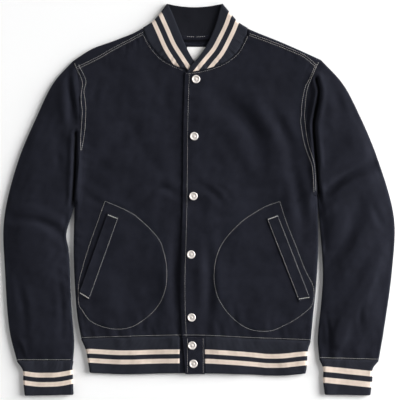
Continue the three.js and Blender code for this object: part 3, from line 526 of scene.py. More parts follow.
@dataclass
class Lay:
    """How the jacket lies: its folded edges, its creases and the heights of its two layers."""

    creases: dict[Layer, tuple[tuple[Any, ...], ...]] = field(default_factory=lambda: {
        Layer.UPPER: GAPS + folds(MAIN_CREASES) + folds(SMALL_CREASES, 0.6),
        Layer.LOWER: folds(BACK_CREASES),
    })

    def __post_init__(self) -> None:
        """Makes the straight steps of the folded edges and of the creases."""
        lines = [Line.through(COLLAR_FOLD[side]) for side in Side]
        for side in Side:
            tables = (BODY_EDGE[side][:UNDERARM_ROW + 1], SHOULDER[side], SLEEVE_INNER[side],
                      SLEEVE_OUTER[side], CUFF_INNER[side], CUFF_OUTER[side], HEM_SIDE[side])
            lines += [Line.through(table) for table in tables]
        chains = [line.chain() for line in lines]
        self.starts = np.vstack([start for start, _ in chains])
        self.ways = np.vstack([way for _, way in chains])

    def inside(self, places: Array) -> Array:
        """Distance in from the nearest folded edge."""
        return measure(places, self.starts, self.ways)[0]

    def gap(self, places: Array) -> Array:
        """Share by which a place gets painted shade, where it lies in an armhole gap.

        Args:
            places: Points, with x and y last.

        Returns:
            1 in the gap, 0 away from it.
        """
        near = np.zeros(places.shape[:-1])
        for rows, _, _ in GAPS:
            distance = measure(places, *Line.through(rows).chain(24))[0]
            near = np.maximum(near, np.exp(-(distance / GAP_SHADE) ** 4))
        return near

    def crease_height(self, places: Array, layer: Layer) -> Array:
        """Height that the creases of a layer add.

        Args:
            places: Points, with x and y last.
            layer: The layer of cloth.

        Returns:
            Height at each place.
        """
        total = np.zeros(places.shape[:-1])
        for rows, width, rise in self.creases[layer]:
            steps = 6 * len(rows) - 6
            distance, step, _ = measure(places, *Line.through(rows).chain(steps))
            q = (distance / width) ** 2
            across = RIDGE_SCALE * np.exp(-q / 1.2)
            if rise < 0:
                across = VALLEY_SCALE * ((1 - 2.2 * q) * np.exp(-q) - 0.4 * np.exp(-q / 5))
            total += rise * across * np.sin(math.pi * np.clip(step / steps, 0.1, 0.9)) ** (2 / (len(rows) - 1))
        return total

    @staticmethod
    def round_off(distance: Array) -> Array:
        """Round of a folded edge, from 0 at the edge to 1 where the cloth has turned flat."""
        return np.sqrt(1 - (1 - np.clip(distance / ROLL, 0, 1)) ** 2)

    def upper(self, places: Array, thickness: float, detail: Any = 0.0, lap: Any = 0.0) -> Array:
        """Middle height of the layer that faces up.

        Args:
            places: Points, with x and y last.
            thickness: Thickness of the wall.
            detail: Finer relief at each place, which fades out at folded edges.
            lap: Height by which the layer rises or sinks over or under another.

        Returns:
            Height at each place.
        """
        inside = self.inside(places)
        on_sleeve = (ease((np.abs(places[..., 0]) - SLEEVE_FROM[0]) / SLEEVE_FROM[1])
                     * ease((places[..., 1] - SLEEVE_TO[0]) / SLEEVE_TO[1]))
        swell = (1 - on_sleeve) * SWELL * np.exp(-((inside / SWELL_WIDTH) ** 2))
        swell += on_sleeve * PILLOW * np.sin(math.pi / 2 * np.clip(inside / PILLOW_WIDTH, 0, 1)) ** 1.3
        creases = self.crease_height(places, Layer.UPPER) * ease(inside / FOLD_EDGE)
        fine = detail * ease(inside / DETAIL_EDGE)
        slack = SLACK * waves(places, SLACK_SIZE, 31) * ease(inside / 40)
        top = UPPER + (thickness - CLOTH) / 2 + swell + creases + slack + fine + lap
        top = np.where(top < LOWEST + 1, LOWEST + np.exp(np.minimum(top - LOWEST - 1, 0)), top)
        top = np.where(top > HIGHEST, HIGHEST + 3 * np.tanh((top - HIGHEST) / 3), top)
        return MIDDLE + (top - MIDDLE) * self.round_off(inside)

    def lower(self, places: Array, thickness: float, detail: Any = 0.0) -> Array:
        """Middle height of the layer that rests on the surface.

        Args:
            places: Points, with x and y last.
            thickness: Thickness of the cloth.
            detail: Height of its own relief.

        Returns:
            Height at each place.
        """
        inside = self.inside(places)
        dents = (self.crease_height(places, Layer.LOWER) + detail) * ease(inside / FOLD_EDGE)
        return MIDDLE - (MIDDLE - thickness / 2 - np.maximum(dents, 0)) * self.round_off(inside)


def slopes(grid: Array, axis: int, ring: bool) -> Array:
    """Step between the neighbours of each place of a grid, one-sided where one is absent.

    Args:
        grid: Places in rows and columns.
        axis: 0 for rows, 1 for columns.
        ring: Whether the last column meets the first.

    Returns:
        The steps.
    """
    after = np.roll(grid, -1, axis) - grid
    if not (ring and axis == 1):
        edge = [slice(None)] * 3
        edge[axis] = -1
        after[tuple(edge)] = np.nan
    before = np.roll(after, 1, axis)
    both = after + before
    return np.where(np.isnan(after), before, np.where(np.isnan(before), after, both))


def margins(grid: Array, ring: bool) -> Array:
    """Distance of each place from the nearest border, along the rows and columns of a grid.

    Args:
        grid: Places in rows and columns.
        ring: Whether the last column meets the first.

    Returns:
        The distances.
    """
    best = np.full(grid.shape[:2], np.inf)
    for axis in ((0,) if ring else (0, 1)):
        for backwards in (False, True):
            lines = np.moveaxis(grid, axis, 0)[::-1 if backwards else 1]
            total = [np.zeros(lines.shape[1])]
            for before, here in zip(lines, lines[1:]):
                step = np.linalg.norm(here - before, axis=-1)
                total.append(np.where(np.isnan(step), 0, total[-1] + step))
            found = np.moveaxis(np.array(total)[::-1 if backwards else 1], 0, axis)
            best = np.minimum(best, found)
    return best


def linked(name: str, data: Any) -> Piece:
    """Adds an object to the scene.

    Args:
        name: Name of the object.
        data: Its mesh, light or camera.

    Returns:
        The object.
    """
    added = bpy.data.objects.new(name, data)
    bpy.context.scene.collection.objects.link(added)
    return added


def smooth_piece(name: str, points: Array, faces: Sequence[Sequence[int]]) -> Piece:
    """Makes a piece with smooth faces.

    Args:
        name: Name of the piece.
        points: Its points, in millimetres.
        faces: Numbers of the points of each face.

    Returns:
        The piece.
    """
    mesh = bpy.data.meshes.new(name)
    mesh.from_pydata((points * METRES).tolist(), [], faces)
    mesh.polygons.foreach_set("use_smooth", np.ones(len(faces), bool))
    return linked(name, mesh)


@dataclass
class Shell:
    """A thin closed wall of cloth round a grid of middle places, with rounded borders.

    Fields:
        name: Name of the piece.
        grid: Middle places in rows and columns; an absent one is nan.
        thickness: Thickness of the wall.
        ring: Whether each row closes on itself.
        ribs: Height added to each face at each place.
        facts: Values that the finish reads, by name, with one column more where rows close.
    """

    name: str
    grid: Array
    thickness: float
    ring: bool = False
    ribs: Any = 0.0
    facts: dict[str, Array] = field(default_factory=dict)
    thinnest: float = 0.06

    def build(self) -> Piece:
        """Makes the mesh and its object.

        Returns:
            The piece.
        """
        present = ~np.isnan(self.grid[..., 0])
        normal = np.cross(slopes(self.grid, 1, self.ring), slopes(self.grid, 0, self.ring))
        normal /= np.linalg.norm(normal, axis=-1, keepdims=True)
        margin = margins(self.grid, self.ring)
        bevel = self.thickness * 0.55
        full = np.sqrt(1 - (1 - np.clip(margin / bevel, 0, 1)) ** 2)
        half = np.maximum(self.thickness / 2 * full, self.thinnest) + self.ribs * ease(margin / bevel)
        step = normal * half[..., None]
        numbers = np.full(present.shape, -1)
        numbers[present] = np.arange(present.sum())
        points = np.vstack([(self.grid + step)[present], (self.grid - step)[present]])
        faces, corners, outer = self.faces(present, numbers)
        piece = smooth_piece(self.name, points, faces.tolist())
        facts = {"outside": None, "border": self.widened(margin), **self.facts}
        for name, values in facts.items():
            read = outer.ravel() if values is None else values.reshape((-1,) + values.shape[2:])[corners.ravel()]
            vector = read.ndim == 2
            kind, key = ("FLOAT_VECTOR", "vector") if vector else ("FLOAT", "value")
            if vector and read.shape[1] == 2:
                read = np.hstack([read, np.zeros((len(read), 1))])
            added = piece.data.attributes.new(name, kind, "CORNER")
            added.data.foreach_set(key, read.astype(np.float32).ravel())
        piece.data.update()
        return piece

    def widened(self, values: Array) -> Array:
        """Values with their first column again at the end, where rows close on themselves."""
        return np.hstack([values, values[:, :1]]) if self.ring else values

    def faces(self, present: Array, numbers: Array) -> tuple[Array, Array, Array]:
        """Faces of both sides and of the rims.

        Args:
            present: Which places of the grid exist.
            numbers: Number of each place among the mesh's points.

        Returns:
            Point numbers of each face, the grid places its corners read their facts from, and
            whether each corner is on the outside.
        """
        rows, columns = present.shape
        wide = columns + 1 if self.ring else columns
        row, column = np.meshgrid(np.arange(rows - 1), np.arange(wide - 1), indexing="ij")
        around = [(row, column), (row, column + 1), (row + 1, column + 1), (row + 1, column)]
        cell = np.all([present[r, c % columns] for r, c in around], axis=0)
        number = np.stack([numbers[r, c % columns] for r, c in around], -1)
        fact = np.stack([r * wide + c for r, c in around], -1)
        count = int(present.sum())
        ones = np.ones((int(cell.sum()), 4))
        found = [(number[cell], fact[cell], ones),
                 (number[cell][:, ::-1] + count, fact[cell][:, ::-1], 0 * ones)]
        padded = np.pad(cell, 1)
        if self.ring:
            padded[:, 0], padded[:, -1] = padded[:, -2], padded[:, 1]
        beyond = (padded[:-2, 1:-1], padded[1:-1, 2:], padded[2:, 1:-1], padded[1:-1, :-2])
        for side, neighbour in enumerate(beyond):
            rim = cell & ~neighbour
            start, end = number[rim][:, side], number[rim][:, (side + 1) % 4]
            read, read_end = fact[rim][:, side], fact[rim][:, (side + 1) % 4]
            flags = np.tile([1.0, 1.0, 0.0, 0.0], (len(start), 1))
            found.append((np.stack([end, start, start + count, end + count], -1),
                          np.stack([read_end, read, read, read_end], -1), flags))
        return tuple(np.vstack(part) for part in zip(*found))


def blend(bottom: Array, top: Array, start: Array, end: Array,
          across: Array, up: Array) -> Array:
    """Places inside four edges, by blending them.

    Args:
        bottom: Places along the first row.
        top: Places along the last row.
        start: Places along the first column.
        end: Places along the last column.
        across: Share of each column.
        up: Share of each row.

    Returns:
        x and y of each place, in rows and columns.
    """
    u, v = across[None, :, None], up[:, None, None]
    edges = (1 - v) * bottom[None] + v * top[None] + (1 - u) * start[:, None] + u * end[:, None]
    corners = ((1 - u) * (1 - v) * bottom[0] + u * (1 - v) * bottom[-1]
               + (1 - u) * v * top[0] + u * v * top[-1])
    return edges - corners


def raised(places: Array, height: Array) -> Array:
    """Places with their height as z."""
    return np.concatenate([places, height[..., None]], -1)


@dataclass(frozen=True)
class Cut:
    """The flat size of a piece before it was sewn, in metres, and what it lies on."""

    width: float
    length: float
    area: float
    rests_on: tuple[str, ...]


def dress(piece: Piece, node: str, finish: Material) -> Piece:
    """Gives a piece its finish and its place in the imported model.

    Args:
        piece: The piece.
        node: Solid that it stands for.
        finish: Its material.

    Returns:
        The piece.
    """
    piece.data.materials.append(finish)
    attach(piece, "root")
    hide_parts(node)
    LOG.info("%s: %d faces", piece.name, len(piece.data.polygons))
    return piece


@dataclass(frozen=True)
class BodyLine:
    """The side and armhole line of one side, with the shares of its length at its landmarks."""

    side: Side
    line: Line
    underarm: float
    seam: float

    @staticmethod
    def of(side: Side) -> "BodyLine":
        """Reads the line of one side.

        Args:
            side: The wearer's side.

        Returns:
            The line.
        """
        rows = BODY_EDGE[side]
        line = Line.through(rows)
        return BodyLine(side, line, line.share_of(rows[UNDERARM_ROW]), line.share_of(rows[SHOULDER_SEAM_ROW]))

    @property
    def armhole(self) -> Line:
        """The armhole seam alone."""
        return Line.of(self.line.at(np.linspace(self.underarm, 1, 80)))

    def place(self, shares: Array, away: int) -> Array:
        """Places on the line, moved off the armhole seam to one side of it.

        Args:
            shares: Shares of the line's length.
            away: 1 for the sleeve's side of the seam and -1 for the body's.

        Returns:
            x and y of each place.
        """
        points = self.line.at(shares)
        rows = BODY_EDGE[self.side]
        near = np.minimum(*[np.hypot(*(points - rows[row]).T) for row in (UNDERARM_ROW, -1)])
        gap = SEAM + ARMHOLE_END_GAP * np.exp(-((near / ARMHOLE_END_REACH) ** 2))
        on_seam = shares > self.underarm - ROLL / self.line.length
        points[:, 0] += self.side.value * away * np.where(on_seam, gap, 0)
        return points


# The stitching that holds each pocket bag, from the top of the welt and round the bag
POCKET_BAG = {
    Side.RIGHT: ((-178, -2), (-141, -18), (-121, -29), (-103, -44), (-87, -60), (-71, -80), (-64, -100),
                 (-59, -122), (-57.5, -145), (-60, -171), (-69, -196), (-83, -216), (-103, -233),
                 (-125, -246.5), (-148, -251), (-168, -250), (-190, -244), (-209, -233), (-221, -216),
                 (-228, -206), (-230, -185), (-229, -162), (-221, -129), (-207, -84), (-192, -41.5), (-178, -2)),
    Side.LEFT: ((162, -3), (138, -11), (113, -25), (89, -41.5), (66, -64), (48, -88.5), (38.5, -113),
                (34.5, -138), (35, -162), (41, -187), (53, -209), (71, -230), (93, -246.5), (113, -254),
                (147, -254), (169, -245), (196, -230), (214, -216), (224, -206), (228.5, -174),
                (210, -133), (192, -86), (176, -46), (162, -3)),
}
SNAP_PLACES = ((-1, 235), (-4.5, 124), (-6, 7.5), (-10.5, -106), (-9.5, -228.5), (-8.5, -283), (-6, -318.5))


def within(places: Array, loop: Array) -> Array:
    """Whether places are inside a closed loop of points.

    Args:
        places: Points, with x and y last.
        loop: Its points in order.

    Returns:
        True where a place is inside.
    """
    x, y = places[..., 0, None], places[..., 1, None]
    (x0, y0), (x1, y1) = loop[:-1].T, loop[1:].T
    level = y1 != y0
    crosses = ((y0 > y) != (y1 > y)) & level
    at = (x1 - x0) * (y - y0) / np.where(level, y1 - y0, 1) + x0
    return (crosses & (x < at)).sum(-1) % 2 == 1


def bag_relief(places: Array, side: Side) -> Array:
    """Slight step where a pocket bag lies behind a front, with a furrow along its stitching.

    Args:
        places: Points, with x and y last.
        side: The wearer's side.

    Returns:
        Height at each place.
    """
    line = Line.through(POCKET_BAG[side], 6)
    distance = line.measure(places)[0]
    signed = np.where(within(places, line.at(np.linspace(0, 1, 90))), distance, -distance)
    return 0.55 * ease((signed + 2) / 6) - 0.4 * np.exp(-((distance / 2.4) ** 2))


def snap_relief(places: Array) -> Array:
    """Cloth pressed down and pulled in round each snap.

    Args:
        places: Points, with x and y last.

    Returns:
        Height at each place.
    """
    total = np.zeros(places.shape[:-1])
    for x, y in SNAP_PLACES:
        away = np.hypot(places[..., 0] - x, places[..., 1] - y)
        total += 0.35 * np.exp(-(((away - 13) / 5) ** 2)) - 0.3 * np.exp(-((away / 8) ** 2))
    return total


@dataclass
class FrontPanel:
    """One front, from its side and armhole to its front edge."""

    lay: Lay
    side: Side
    cut: Cut
    width: float = 220.0
    neck_share: float = 0.53
    step: float = 2.7

    def lap(self, x: Array) -> Array:
        """How far the front rises or sinks where the two fronts lap.

        Args:
            x: The x of the places.

        Returns:
            Height at each x.
        """
        if self.side is Side.RIGHT:
            return UNDERLAP * ease((x - TAB_UNDER_FROM + LAP_FADE) / LAP_FADE)
        return OVERLAP * ease((TAB_OVER_TO + LAP_FADE - x) / LAP_FADE)

    def seams(self) -> list[SeamRelief]:
        """Seams round the front and what each does to it.

        Returns:
            The seams.
        """
        seed = 10 if self.side is Side.RIGHT else 30
        return [
            SeamRelief(BodyLine.of(self.side).armhole, seed, rise=0.5, pucker=0.35, spacing=24, reach=20),
            SeamRelief(Line.through(SHOULDER_SEAM[self.side]), seed + 1, rise=0, furrows=(), pucker=0.35,
                       spacing=17, reach=13),
            SeamRelief(Line.through(NECK_SEAM[self.side]), seed + 2, rise=0.15, band=5, furrows=(2.6,),
                       pucker=0.4, spacing=13, reach=12),
            SeamRelief(Line.through(HEM_TOP), seed + 3, rise=0.2, band=6, furrows=(2.6,), pucker=0.4,
                       spacing=19, reach=27, slant=0.25),
            SeamRelief(Line.through(FRONT_EDGE[self.side]), seed + 4, rise=0.35, band=10.5, furrows=(8.6,),
                       pucker=0.22, spacing=21, reach=16),
            SeamRelief(Line.through(BODY_EDGE[self.side][:UNDERARM_ROW + 1]), seed + 5, rise=0.3,
                       band=9, furrows=(), pucker=0.5, spacing=24, reach=18),
        ]

    def grid(self) -> Array:
        """Middle places of the front.

        Returns:
            Places in rows and columns.
        """
        body = BodyLine.of(self.side)
        below, above = body.line.length * body.underarm, body.line.length * (body.seam - body.underarm)
        rows = np.concatenate([
            body.underarm * stations(below, self.step, Border.SEAM, Border.PLAIN)[:-1],
            body.underarm + (body.seam - body.underarm) * stations(above, self.step, Border.FOLD, Border.SEAM),
        ])
        corner = self.neck_share
        columns = np.concatenate([
            corner * stations(self.width * corner, self.step, Border.SIDE, Border.PLAIN)[:-1],
            corner + (1 - corner) * stations(self.width * (1 - corner), self.step, Border.PLAIN, Border.SEAM),
        ])
        shoulder, neck = Line.through(SHOULDER_SEAM[self.side]), Line.through(NECK_SEAM[self.side])
        on_shoulder = (columns <= corner)[:, None]
        top = np.where(on_shoulder, shoulder.at(columns / corner), neck.at((columns - corner) / (1 - corner)))
        top -= (0, SEAM)
        start = body.place(rows, -1)
        end = Line.through(FRONT_EDGE[self.side]).at(rows / body.seam)
        top[0] = start[-1] - (0, SEAM)
        start[-1], end[-1] = top[0], top[-1]
        x = start[0, 0] + (end[0, 0] - start[0, 0]) * columns
        bottom = np.stack([x, Line.through(HEM_TOP).y_at(x) + SEAM], -1)
        start[0], end[0] = bottom[0], bottom[-1]
        places = blend(bottom, top, start, end, columns, rows / body.seam)
        detail = (sum(seam.height(places) for seam in self.seams()) + bag_relief(places, self.side)
                  + snap_relief(places) + 0.4 * waves(places, 62, 3) + 0.16 * waves(places, 21, 4))
        height = self.lay.upper(places, CLOTH, detail, self.lap(places[..., 0]))
        on_side = rows <= body.underarm
        height[on_side, 0] = np.maximum(height[on_side, 0], MIDDLE + SIDE_SEAM)
        grid = raised(places, height)
        return grid[:, ::-1] if self.side is Side.LEFT else grid

    def build(self, finish: Material) -> Piece:
        """Makes the front.

        Args:
            finish: The material it wears.

        Returns:
            The piece.
        """
        name = self.side.name.lower()
        grid = self.grid()
        facts = {"grain": grid[..., :2], "edge": self.lay.inside(grid), "gap": self.lay.gap(grid)}
        shell = Shell(f"cloth_front_{name}", grid, CLOTH, facts=facts)
        return dress(shell.build(), f"front_{name}", finish)


@dataclass
class BackPanel:
    """The back, with its wrap over both shoulders to the seams on the front."""

    lay: Lay
    cut: Cut
    width: float = 440.0
    neck_share: float = 0.3
    wrap: float = 15.0
    step: float = 3.9

    def upright(self, body: BodyLine) -> Array:
        """Shares of the rows up to the folded edge of the shoulder.

        Args:
            body: Side line of the body.

        Returns:
            The shares.
        """
        below = body.line.length * body.underarm
        above = body.line.length * (1 - body.underarm)
        return np.concatenate([
            body.underarm * stations(below, self.step, Border.SEAM, Border.PLAIN)[:-1],
            body.underarm + (1 - body.underarm) * stations(above, self.step, Border.FOLD, Border.FOLD),
        ])

    def crosswise(self) -> Array:
        """Shares of the columns from the right side to the left.

        Returns:
            The shares.
        """
        side = self.neck_share * stations(self.width * self.neck_share, self.step, Border.SIDE, Border.PLAIN)
        middle = stations(self.width * (1 - 2 * self.neck_share), self.step, Border.CUT, Border.CUT)
        neck = self.neck_share + (1 - 2 * self.neck_share) * middle
        return np.concatenate([side[:-1], neck, 1 - side[-2::-1]])

    def grid(self) -> Array:
        """Middle places of the back, with nan over the neck.

        Returns:
            Places in rows and columns.
        """
        bodies = {side: BodyLine.of(side) for side in Side}
        right, left = bodies[Side.RIGHT], bodies[Side.LEFT]
        rows_right, rows_left = self.upright(right), self.upright(left)
        count = min(len(rows_right), len(rows_left))
        pick = [np.interp(np.linspace(0, 1, count), np.linspace(0, 1, len(rows)), rows)
                for rows in (rows_right, rows_left)]
        rows = (pick[0] + pick[1]) / 2
        columns = self.crosswise()
        on_right = columns < 0.5
        share = np.clip(np.minimum(columns, 1 - columns) / self.neck_share, 0, 1)
        inner = np.minimum(columns, 1 - columns) > self.neck_share + 1e-9
        corner = (share >= 1) & ~inner
        edge = self.both(SHOULDER, share, on_right)
        edge[corner, 0] += np.where(on_right[corner], -NECK_CORNER, NECK_CORNER)
        neck_share = (columns - self.neck_share) / (1 - 2 * self.neck_share)
        edge[inner] = Line.through(BACK_NECK).at(neck_share)[inner] - (0, SEAM)
        start, end = right.place(pick[0], -1), left.place(pick[1], -1)
        edge[0], edge[-1] = start[-1], end[-1]
        bottom = Line.through(HEM_TOP).at(columns) + (0, SEAM)
        start[0], end[0] = bottom[0], bottom[-1]
        places = blend(bottom, edge, start, end, columns, rows)
        height = self.lay.lower(places, CLOTH, self.detail(places))
        on_side = rows <= right.underarm
        for column in (0, -1):
            height[on_side, column] = np.minimum(height[on_side, column], MIDDLE - SIDE_SEAM)
        wraps = [raised(places, height)]
        seam = self.both(SHOULDER_SEAM, share, on_right) + (0, SEAM)
        seam[corner, 0] += np.where(on_right[corner], -NECK_CORNER, NECK_CORNER)
        for part in stations(self.wrap, 1.5, Border.FOLD, Border.CUT)[1:]:
            row = edge + (seam - edge) * part
            for column, body in ((0, right), (-1, left)):
                row[column] = body.place(np.array([1 - part * (1 - body.seam)]), -1)[0]
            row = row[None]
            detail = sum(relief.height(row) for relief in self.wrap_seams())
            lifted = raised(row, self.lay.upper(row, CLOTH, detail))
            lifted[:, inner] = np.nan
            wraps.append(lifted)
        return np.vstack(wraps)[:, ::-1]

    def both(self, table: dict[Side, Rows], share: Array, on_right: Array) -> Array:
        """Places at shares of a table's two lines, the right one's where on_right says so."""
        lines = {side: Line.through(rows).at(share) for side, rows in table.items()}
        return np.where(on_right[:, None], lines[Side.RIGHT], lines[Side.LEFT])

    def wrap_seams(self) -> list[SeamRelief]:
        """Seams that shape the shoulders, seen on the front."""
        return [SeamRelief(Line.through(SHOULDER_SEAM[side]), 50 + side.value, rise=0.45, band=11,
                           furrows=(2.2, 8.2), pucker=0.3, spacing=13, reach=14) for side in Side]

    def detail(self, places: Array) -> Array:
        """Fine relief of the back, which only rises off the surface.

        Args:
            places: Points, with x and y last.

        Returns:
            Height at each place.
        """
        seams = [SeamRelief(BodyLine.of(side).armhole, 60 + side.value, rise=0.2, pucker=0.5, spacing=18)
                 for side in Side]
        seams.append(SeamRelief(Line.through(HEM_TOP), 64, rise=0.2, band=6, furrows=(), pucker=0.7,
                                spacing=19, reach=27))
        return 0.35 + sum(seam.height(places) for seam in seams) + 0.35 * waves(places, 70, 5)

    def build(self, finish: Material) -> Piece:
        """Makes the back.

        Args:
            finish: The material it wears.

        Returns:
            The piece.
        """
        grid = self.grid()
        facts = {"grain": grid[..., :2], "edge": self.lay.inside(np.nan_to_num(grid))}
        return dress(Shell("cloth_back", grid, CLOTH, facts=facts).build(), "back", finish)


@dataclass
class Tube:
    """A flattened tube between an inner and an outer line, from one end to another."""

    lay: Lay
    inner: Line
    outer: Line
    start: Callable[[Array], Array]
    end: Callable[[Array], Array]
    rows: Array
    thickness: float
    first_width: Optional[float] = None

    def places(self, shares: Callable[[float], Array]) -> Array:
        """x and y of each place.

        Args:
            shares: Shares across the tube, for a row of the given width.

        Returns:
            Places in rows, from the inner edge to the outer one.
        """
        a, b = self.inner.at(self.rows), self.outer.at(self.rows)
        ends = np.array([0.0, 1.0])
        (a[0], b[0]), (a[-1], b[-1]) = self.start(ends), self.end(ends)
        found = []
        for row, v in enumerate(self.rows):
            width = self.first_width if row == 0 and self.first_width else np.linalg.norm(b[row] - a[row])
            u = shares(float(width))
            low, high = self.start(u), self.end(u)
            u = u[:, None]
            corners = ((1 - u) * ((1 - v) * a[0] + v * a[-1]) + u * ((1 - v) * b[0] + v * b[-1]))
            found.append((1 - v) * low + v * high + (1 - u) * a[row] + u * b[row] - corners)
        return np.array(found)

    def ring(self, upper: Callable[[float], Array], lower: Callable[[float], Array],
             upper_detail: Heights, lower_detail: Heights) -> Array:
        """Middle places of the whole tube: the front layer outwards, then the back layer inwards.

        Args:
            upper: Shares across the front layer for a width.
            lower: Shares across the back layer for a width.
            upper_detail: Relief of the front layer.
            lower_detail: Relief of the back layer.

        Returns:
            Places in rows and columns.
        """
        top, under = self.places(upper), self.places(lower)[:, -2:0:-1]
        high = self.lay.upper(top, self.thickness, upper_detail(top))
        low = self.lay.lower(under, self.thickness, lower_detail(under))
        high[:, 0] = high[:, -1] = MIDDLE
        return np.concatenate([raised(top, high), raised(under, low)], axis=1)


def across_row(inner: Sequence[float], outer: Sequence[float], offset: float) -> Callable[[Array], Array]:
    """Straight line from an inner place to an outer one, moved along Y."""
    start, end = np.array(inner, float) + (0, offset), np.array(outer, float) + (0, offset)
    return lambda u: start + (end - start) * u[:, None]


def flat_shares(middle: int) -> Callable[[float], Array]:
    """Shares across a flattened tube, closer together where it turns, with even ones between.

    Args:
        middle: Number of even shares between the turns.

    Returns:
        The shares for a width.
    """
    turn = np.array(TURN_STEPS)

    def shares(width: float) -> Array:
        """Shares for a row of this width."""
        between = np.linspace(turn[-1] / width, 1 - turn[-1] / width, middle)[1:-1]
        return np.concatenate([turn / width, between, 1 - turn[::-1] / width])

    return shares


def rolled(surface: Array) -> Array:
    """Distances inwards from a folded edge, for distances along the surface round it."""
    turned = ROLL * (1 - np.cos(np.minimum(surface / ROLL, math.pi / 2)))
    return np.where(surface < ROLL * math.pi / 2, turned, surface - ROLL * (math.pi / 2 - 1))


def even_shares(count: int) -> Callable[[float], Array]:
    """Shares across a flattened tube at even steps of its surface, round both folded edges.

    Args:
        count: Number of steps.

    Returns:
        The shares for a width.
    """
    def shares(width: float) -> Array:
        """Shares for a row of this width.

        Args:
            width: Width of the row.

        Returns:
            The shares.
        """
        surface = np.linspace(0, width - 2 * ROLL + math.pi * ROLL, count + 1)
        inward = rolled(np.minimum(surface, surface[::-1])) / width
        return np.where(surface <= surface[::-1], inward, 1 - inward)

    return shares


@dataclass
class Sleeve:
    """One sleeve, a flattened tube from the armhole to the cuff seam."""

    lay: Lay
    side: Side
    cut: Cut
    step: float = 2.9
    upper_count: int = 74
    lower_count: int = 50

    def detail(self, places: Array) -> Array:
        """Fine relief of the front layer: puckers at the armhole and gathers above the cuff.

        Args:
            places: Points, with x and y last.

        Returns:
            Height at each place.
        """
        seed = 80 if self.side is Side.RIGHT else 100
        cuff = Line.through((SLEEVE_INNER[self.side][-1], SLEEVE_OUTER[self.side][-1]))
        seams = (
            SeamRelief(BodyLine.of(self.side).armhole, seed, rise=-0.3, band=3, furrows=(), pucker=0.35,
                       spacing=30, reach=22),
            SeamRelief(cuff, seed + 1, rise=-0.2, band=3, furrows=(), pucker=0.45, spacing=26, reach=22,
                       slant=0.15),
            SeamRelief(Line.through(SLEEVE_INNER[self.side]), seed + 2, rise=0, furrows=(), pucker=0.5,
                       spacing=34, reach=22),
        )
        return (sum(seam.height(places) for seam in seams) + 0.5 * waves(places, 66, seed + 3)
                + 0.16 * waves(places, 20, seed + 4))

    def under_detail(self, places: Array) -> Array:
        """Fine relief of the layer that rests on the surface."""
        return 0.3 + 0.4 * waves(places, 60, 7)

    def build(self, finish: Material) -> Piece:
        """Makes the sleeve.

        Args:
            finish: The material it wears.

        Returns:
            The piece.
        """
        body = BodyLine.of(self.side)
        inner, outer = Line.through(SLEEVE_INNER[self.side]), Line.through(SLEEVE_OUTER[self.side])
        tube = Tube(
            self.lay, inner, outer,
            start=lambda u: body.place(body.underarm + (1 - body.underarm) * u, 1),
            end=across_row(SLEEVE_INNER[self.side][-1], SLEEVE_OUTER[self.side][-1], SEAM),
            rows=stations(inner.length, self.step, Border.SEAM, Border.SEAM),
            thickness=CLOTH,
            first_width=body.line.length * (1 - body.underarm),
        )
        grid = tube.ring(flat_shares(self.upper_count), flat_shares(self.lower_count),
                         self.detail, self.under_detail)
        if self.side is Side.LEFT:
            grid = grid[:, ::-1]
        name = self.side.name.lower()
        wide = np.hstack([grid, grid[:, :1]])
        (x0, y0), (x1, y1) = inner.points[0] + outer.points[0], inner.points[-1] + outer.points[-1]
        way = np.array([x1 - x0, y1 - y0]) / math.hypot(x1 - x0, y1 - y0)
        grain = np.stack([wide[..., 1] * way[0] - wide[..., 0] * way[1],
                          -wide[..., 0] * way[0] - wide[..., 1] * way[1]], -1)
        facts = {"grain": grain, "edge": self.lay.inside(wide), "gap": self.lay.gap(wide)}
        shell = Shell(f"cloth_sleeve_{name}", grid, CLOTH, ring=True, facts=facts)
        return dress(shell.build(), f"sleeve_{name}", finish)


RIB_PITCH = 2.4
RIB_COLUMNS = 4
RIB_PROFILE = np.array([1.0, 0.25, -1.0, 0.25])
RIB_DEPTH = 0.3


def rib_columns(length: float, pitch: float = RIB_PITCH) -> int:
    """Number of columns of a grid that gives whole ribs over a length."""
    return RIB_COLUMNS * max(round(length / pitch), 1)


def rib_facts(grid: Array, from_free: Array) -> dict[str, Array]:
    """What the rib's finish reads: ribs counted along the band, and distance from its free edge."""
    count = np.arange(grid.shape[1])[None] / RIB_COLUMNS + 0 * grid[..., 0]
    return {"knit": np.stack([count, from_free], -1)}


def rib_height(grid: Array) -> Array:
    """Height of the ribs over the middle of the knit."""
    return RIB_DEPTH * RIB_PROFILE[np.arange(grid.shape[1]) % RIB_COLUMNS][None] + 0 * grid[..., 0]


def rib_seam(line: Line, seed: int, pucker: float, spacing: float, reach: float) -> SeamRelief:
    """A seam that pulls the rib in."""
    return SeamRelief(line, seed, rise=-0.5, band=2.5, furrows=(), pucker=pucker, spacing=spacing, reach=reach, slant=0)


